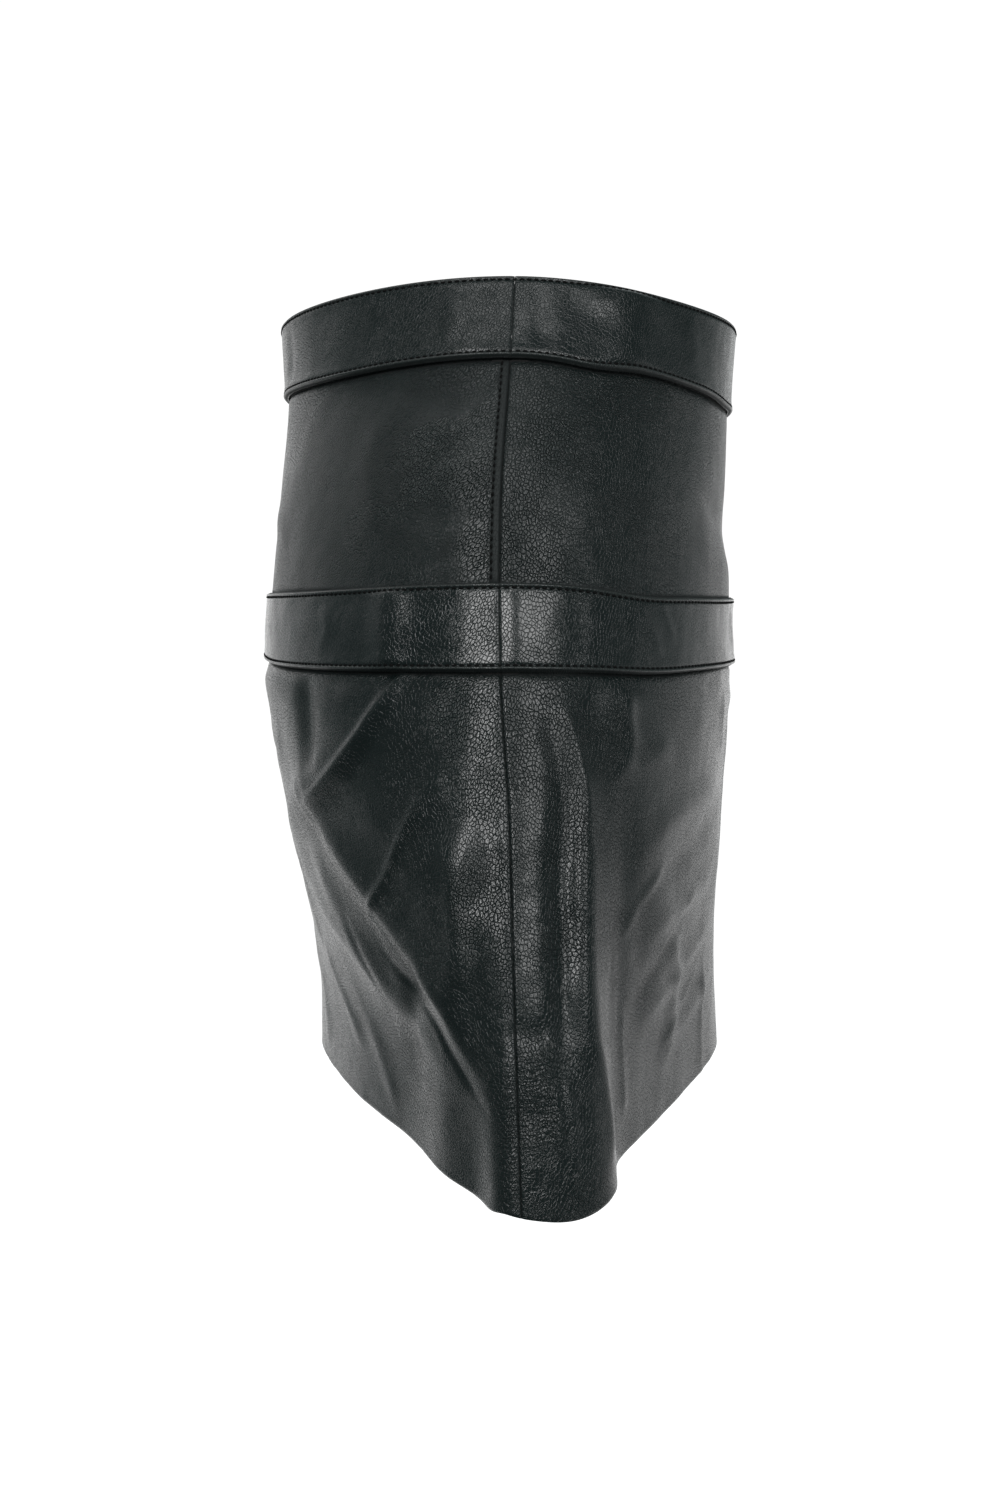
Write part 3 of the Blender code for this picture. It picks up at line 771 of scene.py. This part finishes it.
def relief(tree, shader, strength, depth, height):
    """Fine relief on a material, from a pattern of heights."""
    node = add(tree, "ShaderNodeBump", Strength=strength, Distance=depth, Height=height)
    tree.links.new(node.outputs[0], shader.inputs["Normal"])
    return node


def mark(tree, name):
    settings = {"attribute_type": "GEOMETRY", "attribute_name": name}
    return add(tree, "ShaderNodeAttribute", settings).outputs["Fac"]


def on_hide(tree):
    return add(tree, "ShaderNodeUVMap", {"uv_map": "hide"}).outputs[0]


print("material helpers ready")

# %% Leather material
RIM_HIGHLIGHT_GREY = (0.030, 0.034, 0.033, 1.0)
# How far the grain wanders, in metres, and how it is turned and stretched.
WANDER = (0.004, 0.004, 0.0)
GRAIN_TURN, GRAIN_STRETCH = 0.35, (1.0, 0.72, 1.0)
WRINKLE_SCALE = (180.0, 900.0, 1.0)
SLOW_RELIEF, SLOW_TILT = 0.0002, 0.26


def net(tree, place, scale, randomness):
    """The distance from the lines of a net of cells."""
    settings = {"voronoi_dimensions": "2D", "feature": "DISTANCE_TO_EDGE"}
    sizes = {"Scale": scale, "Randomness": randomness}
    return add(tree, "ShaderNodeTexVoronoi", settings, Vector=place, **sizes).outputs["Distance"]


def leather(name, colour, roughness, grain_size, grain_depth, seed):
    material, tree, shader = new_material(name, colour, roughness)
    place = vectors(tree, "ADD", on_hide(tree), (seed * 0.37, seed * 0.61, 0.0))
    # The hide stretches one way here and another there, so the cells lie at changing angles.
    drift = noise(tree, place, 90.0, 2.0, output="Color")
    shake = vectors(tree, "MULTIPLY_ADD", drift, WANDER, place)
    cells = net(tree, moved(tree, shake, GRAIN_TURN, GRAIN_STRETCH), 1.0 / grain_size, 0.95)
    small_cells = net(tree, shake, 2.1 / grain_size, 1.0)
    dust = noise(tree, place, 2600.0, 3.0)
    peel = noise(tree, place, 130.0, 2.5, 0.55)
    slow = noise(tree, place, 24.0, 2.0, 0.6)
    patch = noise(tree, place, 7.0, 3.0)
    pillow = spread(tree, cells, 0.0, 0.16, 0.0, 1.0)
    pebble = spread(tree, small_cells, 0.0, 0.22, 0.0, 1.0)
    pressed, groove, worn = (mark(tree, kind) for kind in ("pressed", "groove", "worn"))
    flattened = spread(tree, pressed, 0.0, 1.0, 1.0, 0.25)
    depth = maths(tree, "MULTIPLY", spread(tree, slow, 0.35, 0.65, 0.55, 1.15), flattened)
    height = maths(tree, "MULTIPLY_ADD", pebble, 0.16, pillow)
    height = maths(tree, "MULTIPLY_ADD", cells, 0.25, height)
    height = maths(tree, "MULTIPLY_ADD", dust, 0.07, height)
    # Fine wrinkles lie across the flare, low beside its side seams.
    lines = noise(tree, moved(tree, shake, scale=WRINKLE_SCALE), 1.0, 1.5)
    lines = maths(tree, "MULTIPLY", lines, mark(tree, "wrinkled"))
    height = maths(tree, "MULTIPLY_ADD", lines, 2.0, height)
    tilt = noise(tree, place, 0.75 / grain_size, 1.0)
    peel = maths(tree, "MULTIPLY_ADD", tilt, SLOW_TILT, peel)
    grain = relief(tree, shader, depth, grain_depth, height)
    uneven = add(tree, "ShaderNodeBump", Strength=1.0, Distance=SLOW_RELIEF, Height=peel)
    tree.links.new(uneven.outputs[0], grain.inputs["Normal"])
    # Painted shade: the colour darkens in the grain's troughs and wherever the groove mark lies, as
    # shade falls there. The troughs are also duller than the polished tops.
    tops = maths(tree, "MULTIPLY", pillow, spread(tree, groove, 0.0, 1.0, 1.0, 0.15))
    painted_shade_colour = (*(0.35 * c for c in colour), 1.0)
    tone = blend(tree, maths(tree, "MULTIPLY_ADD", tops, 0.75, 0.25), painted_shade_colour, (*colour, 1.0))
    # Painted highlight: the rolled edges are lightened to grey along the roll.
    rim_highlit_tone = blend(tree, maths(tree, "MULTIPLY", worn, 0.8), tone, RIM_HIGHLIGHT_GREY)
    tree.links.new(rim_highlit_tone, shader.inputs["Base Color"])
    rough = spread(tree, patch, 0.3, 0.7, roughness + 0.05, roughness - 0.06)
    rough = maths(tree, "ADD", rough, maths(tree, "MULTIPLY", pressed, 0.22))
    rough = maths(tree, "MULTIPLY_ADD", maths(tree, "SUBTRACT", 1.0, tops), 0.26, rough)
    rough = maths(tree, "MULTIPLY_ADD", groove, 0.30, rough, clamp=True)
    tree.links.new(rough, shader.inputs["Roughness"])
    shader.inputs["IOR"].default_value = 1.5
    shader.inputs["Specular IOR Level"].default_value = 0.5
    return material


def suede(name, colour):
    """The flesh side of the hide, which shows inside the skirt."""
    material, tree, shader = new_material(name, colour, 0.92)
    nap = noise(tree, on_hide(tree), 1500.0, 4.0, 0.7)
    cloud = noise(tree, on_hide(tree), 30.0, 3.0)
    share = maths(tree, "MULTIPLY_ADD", cloud, 0.6, maths(tree, "MULTIPLY", nap, 0.4))
    shades = [(*(level * c for c in colour), 1.0) for level in (0.55, 1.45)]
    tree.links.new(blend(tree, share, *shades), shader.inputs["Base Color"])
    relief(tree, shader, 0.6, 0.0002, nap)
    shader.inputs["Sheen Weight"].default_value = 0.15
    shader.inputs["Sheen Roughness"].default_value = 0.6
    return material


SKIN_BLACK = (0.0050, 0.0088, 0.0088)
# Each leather's roughness, the size and the depth of its grain in metres, and its seed.
HIDES = {
    "waistband": (0.20, 0.00125, 0.00009, 1),
    "yoke": (0.27, 0.00135, 0.00028, 2),
    "hip_band": (0.11, 0.00130, 0.00010, 3),
    "skirt": (0.20, 0.00135, 0.00017, 4),
}
LEATHERS = {key: leather(f"black_leather_{key}", SKIN_BLACK, *hide) for key, hide in HIDES.items()}
FLESH_SIDE = suede("black_suede_inside", (0.016, 0.015, 0.015))
print(len(LEATHERS), "leathers and a flesh side")

# %% [markdown]
# ## Sewing up the pieces
# Each pair of layers becomes one closed mesh: outer faces, inner faces turned the other way, and
# a narrow rim between them. The outer faces and the rim take the leather, the inner ones the
# flesh side. A sheet also states the flat size it was cut to, because leather hardly stretches.

# %% Shell maker
SHARP = math.radians(55)


def in_scene(name, data):
    made = bpy.data.objects.new(name, data)
    bpy.context.scene.collection.objects.link(made)
    return made


def shell(name, outer, inner, marks, materials):
    rows, columns = outer.shape[:2]
    index = np.arange(rows * columns).reshape(rows, columns)
    back = index + rows * columns

    def strip(a, b, c, d):
        return np.stack([a, b, c, d], axis=-1).reshape(-1, 4)

    front_faces = strip(index[:-1, :-1], index[:-1, 1:], index[1:, 1:], index[1:, :-1])
    back_faces = strip(back[:-1, :-1], back[1:, :-1], back[1:, 1:], back[:-1, 1:])
    rim = np.concatenate([
        strip(index[0, :-1], back[0, :-1], back[0, 1:], index[0, 1:]),
        strip(index[-1, :-1], index[-1, 1:], back[-1, 1:], back[-1, :-1]),
        strip(index[:-1, 0], index[1:, 0], back[1:, 0], back[:-1, 0]),
        strip(index[:-1, -1], back[:-1, -1], back[1:, -1], index[1:, -1]),
    ])
    faces = np.concatenate([front_faces, back_faces, rim])
    slots = np.repeat([0, 1, 0], [len(front_faces), len(back_faces), len(rim)])
    points = np.concatenate([outer.reshape(-1, 3), inner.reshape(-1, 3)]) * MM
    mesh = bpy.data.meshes.new(name)
    mesh.from_pydata(points, [], faces)
    mesh.polygons.foreach_set("material_index", slots.astype(np.int32))
    hide = np.stack([marks["across"], marks["up"]], axis=-1).reshape(-1, 2) * MM
    hide = np.concatenate([hide, hide])[faces.ravel()].astype(np.float32)
    mesh.uv_layers.new(name="hide").data.foreach_set("uv", hide.ravel())
    for key in SEWING_AND_PAINTED_LIGHT_MARKS:
        values = np.concatenate([marks[key].ravel(), np.zeros(rows * columns)]).astype(np.float32)
        mesh.attributes.new(key, "FLOAT", "POINT").data.foreach_set("value", values)
    for material in materials:
        mesh.materials.append(material)
    mesh.shade_smooth()
    mesh.set_sharp_from_angle(angle=SHARP)
    mesh.validate()
    return in_scene(name, mesh)


finished_faces = {}
for piece in CUTS:
    for half in ("front", "back"):
        outer, inner, marks = dress(piece, half)
        name = f"{piece}_{half}_leather"
        panel = shell(name, outer, inner, marks, (LEATHERS[piece], FLESH_SIDE))
        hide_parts(f"{piece}_{half}")
        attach(panel, "garment")
        finished_faces[piece, half] = outer

# %% [markdown]
# ## Inside the seams
# Where two pieces are joined, their allowances are pressed open inside and lie behind the seam
# as a flat strip. The strips follow the leather in front of them, close up the seams from behind
# and are what a hand feels inside the skirt. The zip's tape is the same kind of strip, woven.

# %% Seam strips
ALLOWANCE = 8.0
ALLOWANCE_THICKNESS = 0.9
TAPE_TOP, TAPE_LOW, TAPE_WIDTH, TAPE_THICKNESS = 3.0, -160.0, 24.0, 1.0
STRIP_COLUMNS = 17
STRIP_SPACING, QUICK_STRIP_SPACING = 3.0, 8.0
BARELY_APART = 0.05


def strip_behind(piece, side, low, top, width, under, thickness):
    """(outer points, inner points, marks) of a strip that lies behind a side seam."""
    count = max(8, round((top - low) / STRIP_SPACING))
    heights = np.linspace(low, top, count)[:, None]
    across = np.linspace(-0.5, 0.5, STRIP_COLUMNS)[None, :] * width
    seams = seam_angles(side, heights)
    angles = seams + turn_for(1.0, seams, heights) * across
    heights = heights + 0.0 * across
    body = folded_points(angles, heights)
    outward = grid_outward(body)
    rise = np.zeros_like(angles)
    if piece != "waistband":
        rise = crease_rise(piece, body, outward) + unevenness(body) + sewn_end(np.abs(across))
    outer = body + outward * (rise + under)[..., None]
    inner = body + outward * (rise + under - thickness)[..., None]
    marks = {key: np.zeros_like(rise) for key in SEWING_AND_PAINTED_LIGHT_MARKS}
    marks["across"], marks["up"] = across + 0.5 * width + 0.0 * heights, heights
    return outer, inner, marks


def cut_span(piece):
    cut = CUTS[piece]
    return EDGES[cut.low].side + cut.low_shift, EDGES[cut.top].side + cut.top_shift


yoke_low, yoke_top = cut_span("yoke")
skirt_low, skirt_top = cut_span("skirt")
waist_top = EDGES["waistband_top"].side
behind_panel = -PANEL_THICKNESS - BARELY_APART
in_band = SEAM_GAP - BARELY_APART
strips = {
    "seam_allowance_waistband": ("waistband", -1, yoke_top + 1.0, waist_top - 3.0, in_band),
    "seam_allowance_yoke": ("yoke", -1, yoke_low + 0.5, yoke_top - 0.5, behind_panel),
    "seam_allowance_skirt_right": ("skirt", -1, skirt_low + 2.5, skirt_top - 0.5, behind_panel),
    "seam_allowance_skirt_left": ("skirt", 1, skirt_low + 2.5, TAPE_LOW - 1.0, behind_panel),
}
for name, (piece, side, low, top, under) in strips.items():
    layers = strip_behind(piece, side, low, top, 2 * ALLOWANCE, under, ALLOWANCE_THICKNESS)
    strip = shell(name, *layers, (FLESH_SIDE, FLESH_SIDE))
    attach(strip, "garment")
    print(name, round(top - low), "mm long")

# %% Woven tape
BANDS = {"wave_type": "BANDS"}


def woven_tape():
    """A herringbone tape: two sets of fine ribs that lean opposite ways in alternate stripes."""
    material, tree, shader = new_material("black_woven_tape", (0.010, 0.010, 0.011), 0.80)
    hide = on_hide(tree)
    ribs = []
    for lean in (0.9, -0.9):
        place = moved(tree, hide, lean)
        rib = add(tree, "ShaderNodeTexWave", BANDS, Vector=place, Scale=380.0, Distortion=0.4)
        ribs.append(rib.outputs["Fac"])
    stripe = add(tree, "ShaderNodeTexWave", BANDS, Vector=hide, Scale=60.0).outputs["Fac"]
    which = maths(tree, "GREATER_THAN", stripe, 0.5)
    weave = add(tree, "ShaderNodeMix", i0=which, i2=ribs[0], i3=ribs[1]).outputs[0]
    tone = blend(tree, weave, (0.005, 0.005, 0.006, 1.0), (0.018, 0.018, 0.019, 1.0))
    tree.links.new(tone, shader.inputs["Base Color"])
    relief(tree, shader, 0.8, 0.0002, weave)
    return material


TAPE_CLOTH = woven_tape()
COIL_BEHIND_TAPE = 0.55
under = -PANEL_THICKNESS - SEAM_GAP
outer, inner, marks = strip_behind("yoke", 1, TAPE_LOW, TAPE_TOP, TAPE_WIDTH, under, TAPE_THICKNESS)
tape = shell("zip_tape_woven", outer, inner, marks, (TAPE_CLOTH, TAPE_CLOTH))
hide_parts("zip_tape")
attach(tape, "garment")
middle = STRIP_COLUMNS // 2
coil_line = 0.5 * (outer[:-1, middle] + outer[1:, middle])
inward = unit(inner[:-1, middle] - outer[:-1, middle])
coil_line = coil_line + inward * (TAPE_THICKNESS + COIL_BEHIND_TAPE)
print("tape and the line of its coil ready:", len(coil_line), "points")

# %% [markdown]
# ## Stitching
# The visible seams are sewn in black thread, about three stitches to the centimetre. The lines
# follow the bands' edges and the lapped strip of the yoke. Geometry Nodes suit them: a line on
# the leather is divided evenly, and each place gets one short, plump stitch that points along
# the line and sinks into the leather at both ends.

# %% Stitch lines
LAP_STITCHED = (-115.0, -20.0)


def line_at(distance, points, inset):
    """For each column of points, the place where its distance from an edge reaches an inset."""
    return np.array([
        [np.interp(inset, distance[:, column], points[:, column, i]) for i in range(3)]
        for column in range(points.shape[1])
    ])


stitch_lines = []
for half in ("front", "back"):
    for band, (low, top) in RIMS.items():
        above_low, below_top = cut_grid(band, half)[2:]
        outer = finished_faces[band, half]
        stitch_lines.append(line_at(below_top[::-1], outer[::-1], top.inset))
        stitch_lines.append(line_at(above_low, outer, low.inset))
# The yoke's lapped strip is sewn down from waistband to hip band, beside the end of each row.
rows = finished_faces["yoke", "back"][:, ::-1].swapaxes(0, 1)
from_seam = from_ends(finished_faces["yoke", "back"])[1][:, ::-1].T
lap_line = line_at(from_seam, rows, LAP_WIDTH)
heights = lap_line[:, 2]
stitch_lines.append(lap_line[(heights > LAP_STITCHED[0]) & (heights < LAP_STITCHED[1])])
sewn = sum(np.linalg.norm(np.diff(line, axis=0), axis=1).sum() for line in stitch_lines)
print("stitching:", round(sewn), "mm")

# %% Bead tree
BEAD_FACES = 48


def beads_tree():
    """Even beads along every line of the mesh that it is given: stitches, or turns of a coil."""
    tree = bpy.data.node_groups.new("even_beads", "GeometryNodeTree")

    def socket(name, kind, way="INPUT"):
        return tree.interface.new_socket(name=name, in_out=way, socket_type=f"NodeSocket{kind}")

    socket("Lines", "Geometry")
    sizes = ("Pitch", "Length", "Width", "Depth")
    names = {name: socket(name, "Float").identifier for name in sizes}
    names["Thread"] = socket("Thread", "Material").identifier
    socket("Beads", "Geometry", "OUTPUT")
    given = tree.nodes.new("NodeGroupInput").outputs

    def step(kind, settings=(), **inputs):
        return add(tree, kind, settings, **inputs).outputs

    curve = step("GeometryNodeMeshToCurve", Mesh=given["Lines"])[0]
    by_length = {"mode": "LENGTH"}
    even = step("GeometryNodeResampleCurve", by_length, Curve=curve, Length=given["Pitch"])[0]
    points = step("GeometryNodeCurveToPoints", {"mode": "EVALUATED"}, Curve=even)
    turn = step("FunctionNodeAlignEulerToVector", {"axis": "X"}, Vector=points["Tangent"])[0]
    ball = step("GeometryNodeMeshUVSphere", Segments=8, Rings=6, Radius=0.5)["Mesh"]
    size = step("ShaderNodeCombineXYZ", X=given["Length"], Y=given["Width"], Z=given["Depth"])[0]
    bead = step("GeometryNodeTransform", Geometry=ball, Scale=size)[0]
    row = {"Points": points["Points"], "Instance": bead, "Rotation": turn}
    placed = step("GeometryNodeInstanceOnPoints", **row)[0]
    real = step("GeometryNodeRealizeInstances", Geometry=placed)[0]
    sewn = step("GeometryNodeSetMaterial", Geometry=real, Material=given["Thread"])[0]
    tree.links.new(sewn, tree.nodes.new("NodeGroupOutput").inputs[0])
    return tree, names


BEADS, BEAD_INPUTS = beads_tree()


def beaded(name, lines, *inputs):
    """The plain mesh of beads along some lines. The inputs are those of the tree, in order."""
    edges, start = [], 0
    for line in lines:
        edges += [(start + i, start + i + 1) for i in range(len(line) - 1)]
        start += len(line)
    bare = bpy.data.meshes.new(name + "_lines")
    bare.from_pydata(np.concatenate(lines) * MM, edges, [])
    source = in_scene(name + "_lines", bare)
    modifier = source.modifiers.new("beads", "NODES")
    modifier.node_group = BEADS
    for identifier, value in zip(BEAD_INPUTS.values(), inputs):
        modifier[identifier] = value
    bpy.context.view_layer.update()
    evaluated = source.evaluated_get(bpy.context.evaluated_depsgraph_get())
    mesh = bpy.data.meshes.new_from_object(evaluated)
    mesh.name = name
    mesh.shade_smooth()
    bpy.data.objects.remove(source)
    return in_scene(name, mesh)


print("bead tree with inputs", list(BEAD_INPUTS))

# %% Thread and stitches
STITCH_PITCH = 0.0032


def thread_material():
    material, tree, shader = new_material("black_thread", (0.002, 0.002, 0.002), 0.80)
    shader.inputs["Specular IOR Level"].default_value = 0.15
    place = add(tree, "ShaderNodeTexCoord").outputs["Object"]
    diagonal = {**BANDS, "bands_direction": "DIAGONAL"}
    twist = add(tree, "ShaderNodeTexWave", diagonal, Vector=place, Scale=900.0, Distortion=1.5)
    twist = twist.outputs["Fac"]
    relief(tree, shader, 0.5, 0.0001, twist)
    tone = blend(tree, twist, (0.001, 0.001, 0.001, 1.0), (0.004, 0.004, 0.004, 1.0))
    tree.links.new(tone, shader.inputs["Base Color"])
    return material


THREAD = thread_material()
stitches = beaded("topstitching", stitch_lines, STITCH_PITCH, 0.0023, 0.0012, 0.0012, THREAD)
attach(stitches, "garment")
print("stitches:", len(stitches.data.polygons) // BEAD_FACES)

# %% [markdown]
# ## The zip
# The closure is a plain concealed zip inside the left side seam. Its nylon coil shows only from
# inside: the same tree that made the stitches makes its turns, closer together and wider. The
# metal slider and pull are the solids of the frame with a satin finish.

# %% Coil and metal
def satin_metal():
    material, tree, shader = new_material("dark_satin_metal", (0.10, 0.10, 0.105), 0.32, 1.0)
    place = add(tree, "ShaderNodeTexCoord").outputs["Object"]
    brushed = moved(tree, place, scale=(1.0, 1.0, 0.12))
    lines = add(tree, "ShaderNodeTexNoise", Vector=brushed, Scale=4000.0, Detail=3.0).outputs["Fac"]
    tree.links.new(spread(tree, lines, 0.3, 0.7, 0.26, 0.40), shader.inputs["Roughness"])
    relief(tree, shader, 0.15, 0.00003, lines)
    return material


COIL_PITCH = 0.0013
NYLON = new_material("black_nylon_coil", (0.012, 0.012, 0.013), 0.35)[0]
coil = beaded("zip_coil", [coil_line], COIL_PITCH, 0.00095, 0.0038, 0.0017, NYLON)
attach(coil, "garment")
print("coil:", len(coil.data.polygons) // BEAD_FACES, "turns")
METAL = satin_metal()
for node in ("zip_slider", "zip_pull"):
    for slot in bpy.data.objects[node].material_slots:
        slot.material = METAL
print("slider and pull finished")

# %% [markdown]
# ## Studio
# The skirt hangs in a pale room with soft lamps. Black leather shows its form only by what it
# reflects, so the room is bright all round the garment and dimmer on the side the camera
# stands on, with soft boxes that leave upright glints beside the seam.

# %% Camera
CAMERA_PLACE = Vector((-0.80, 0.0045, -0.1295))
CAMERA_SLOPE = 0.09
CAMERA_PITCH = math.atan(CAMERA_SLOPE)
camera_data = bpy.data.cameras.new("studio_camera")
camera_data.sensor_width = 36.0
camera_data.lens = 36.0
camera_data.clip_end = 50.0
camera = in_scene("studio_camera", camera_data)
camera.location = CAMERA_PLACE
looking = Vector((math.cos(CAMERA_PITCH), 0.0, -math.sin(CAMERA_PITCH)))
camera.rotation_euler = looking.to_track_quat("-Z", "Y").to_euler()
bpy.context.scene.camera = camera
print("camera at", tuple(round(v, 3) for v in camera.location))

# %% Room
# Brightness of the room by direction, for the floor, the walls and the ceiling. Angle 0 is behind
# the camera, 90 the garment's front side, and 180 the wall that the camera looks at.
ROOM = (
    (-180, 0.60, 1.40, 0.90), (-160, 1.10, 1.25, 1.20), (-144, 1.20, 0.90, 1.20),
    (-130, 0.60, 0.48, 0.90), (-114, 0.16, 0.26, 0.45), (-92, 0.12, 0.20, 0.24),
    (-50, 0.12, 0.18, 0.20), (0, 0.12, 0.18, 0.24), (60, 0.14, 0.20, 0.18),
    (82, 0.55, 0.46, 0.16), (106, 0.74, 0.54, 0.14), (122, 0.85, 0.62, 0.14),
    (140, 0.95, 0.90, 0.20), (160, 1.00, 1.30, 0.50), (180, 0.60, 1.40, 0.90),
)
BRIGHTEST = 1.5
SEEN_BEHIND = (0.70, 0.70, 0.70, 1.0)
world = bpy.data.worlds.new("pale_room")
bpy.context.scene.world = world
world.use_nodes = True
tree = world.node_tree
background = tree.nodes["Background"].inputs
direction = add(tree, "ShaderNodeTexCoord").outputs["Generated"]
parts = add(tree, "ShaderNodeSeparateXYZ", i0=direction).outputs
toward_front, toward_camera = (maths(tree, "MULTIPLY", parts[axis], -1.0) for axis in "YX")
turn = maths(tree, "ARCTAN2", toward_front, toward_camera)
share = maths(tree, "MULTIPLY_ADD", turn, 0.5 / math.pi, 0.5)


def ring(column):
    """The brightness of one level of the room, by the share of a whole turn."""
    ramp = add(tree, "ShaderNodeValToRGB", Fac=share)
    stops = ramp.color_ramp
    stops.interpolation = "EASE"
    places = [(row[0] + 180.0) / 360.0 for row in ROOM]
    for place in places[1:-1]:
        stops.elements.new(place)
    for stop, place, row in zip(stops.elements, places, ROOM):
        level = row[column]
        # The dim parts of the room are a little bluer.
        cool = min(1.0, 0.74 + 0.30 * level)
        stop.position = place
        stop.color = (cool * level / BRIGHTEST, level / BRIGHTEST, level / BRIGHTEST, 1.0)
    return ramp.outputs["Color"]


near_floor, around, overhead = ring(1), ring(2), ring(3)
walls = blend(tree, spread(tree, parts["Z"], -0.22, 0.02, 0.0, 1.0), near_floor, around)
room = blend(tree, spread(tree, parts["Z"], 0.03, 0.36, 0.0, 1.0), walls, overhead)
seen = add(tree, "ShaderNodeLightPath").outputs["Is Camera Ray"]
tree.links.new(blend(tree, seen, room, SEEN_BEHIND), background["Color"])
background["Strength"].default_value = BRIGHTEST
print("room ready")

# %% Floor and lamps
FLOOR_HEIGHT, FLOOR_HALF = -0.78, 1.6
signs = ((-1, -1), (1, -1), (1, 1), (-1, 1))
floor_mesh = bpy.data.meshes.new("pale_floor")
corners = [(x * FLOOR_HALF, y * FLOOR_HALF, FLOOR_HEIGHT) for x, y in signs]
floor_mesh.from_pydata(corners, [], [(0, 1, 2, 3)])
floor = in_scene("pale_floor", floor_mesh)
paint, tree, shader = new_material("pale_floor_paint", (0.45, 0.45, 0.45), 0.9)
shader.inputs["Specular IOR Level"].default_value = 0.1
shader.inputs["Emission Color"].default_value = (1.0, 1.0, 1.0, 1.0)
in_view = add(tree, "ShaderNodeLightPath").outputs["Is Camera Ray"]
tree.links.new(in_view, shader.inputs["Emission Strength"])
floor_mesh.materials.append(paint)
# The leather mirrors the room, not this sheet of paint.
floor.visible_glossy = False
floor.visible_diffuse = False


def soft_box(name, place, target, width, height, power):
    lamp = bpy.data.lights.new(name, "AREA")
    lamp.shape = "RECTANGLE"
    lamp.size, lamp.size_y, lamp.energy = width, height, power
    box = in_scene(name, lamp)
    box.location = place
    box.rotation_euler = (Vector(target) - Vector(place)).to_track_quat("-Z", "Y").to_euler()


MIDDLE = (0, 0, -0.17)
soft_box("box_back_quarter", (-1.94, 0.58, 0.72), MIDDLE, 0.48, 0.95, 16.0)
soft_box("box_front_quarter", (-1.92, -0.76, 0.70), MIDDLE, 0.72, 0.85, 13.0)
soft_box("box_overhead", (-1.55, 0.05, 1.45), (0, 0, -0.10), 1.5, 0.35, 5.0)
print(len(bpy.data.lights), "soft boxes")

# %% Finish
bpy.context.scene.view_settings.view_transform = "Standard"
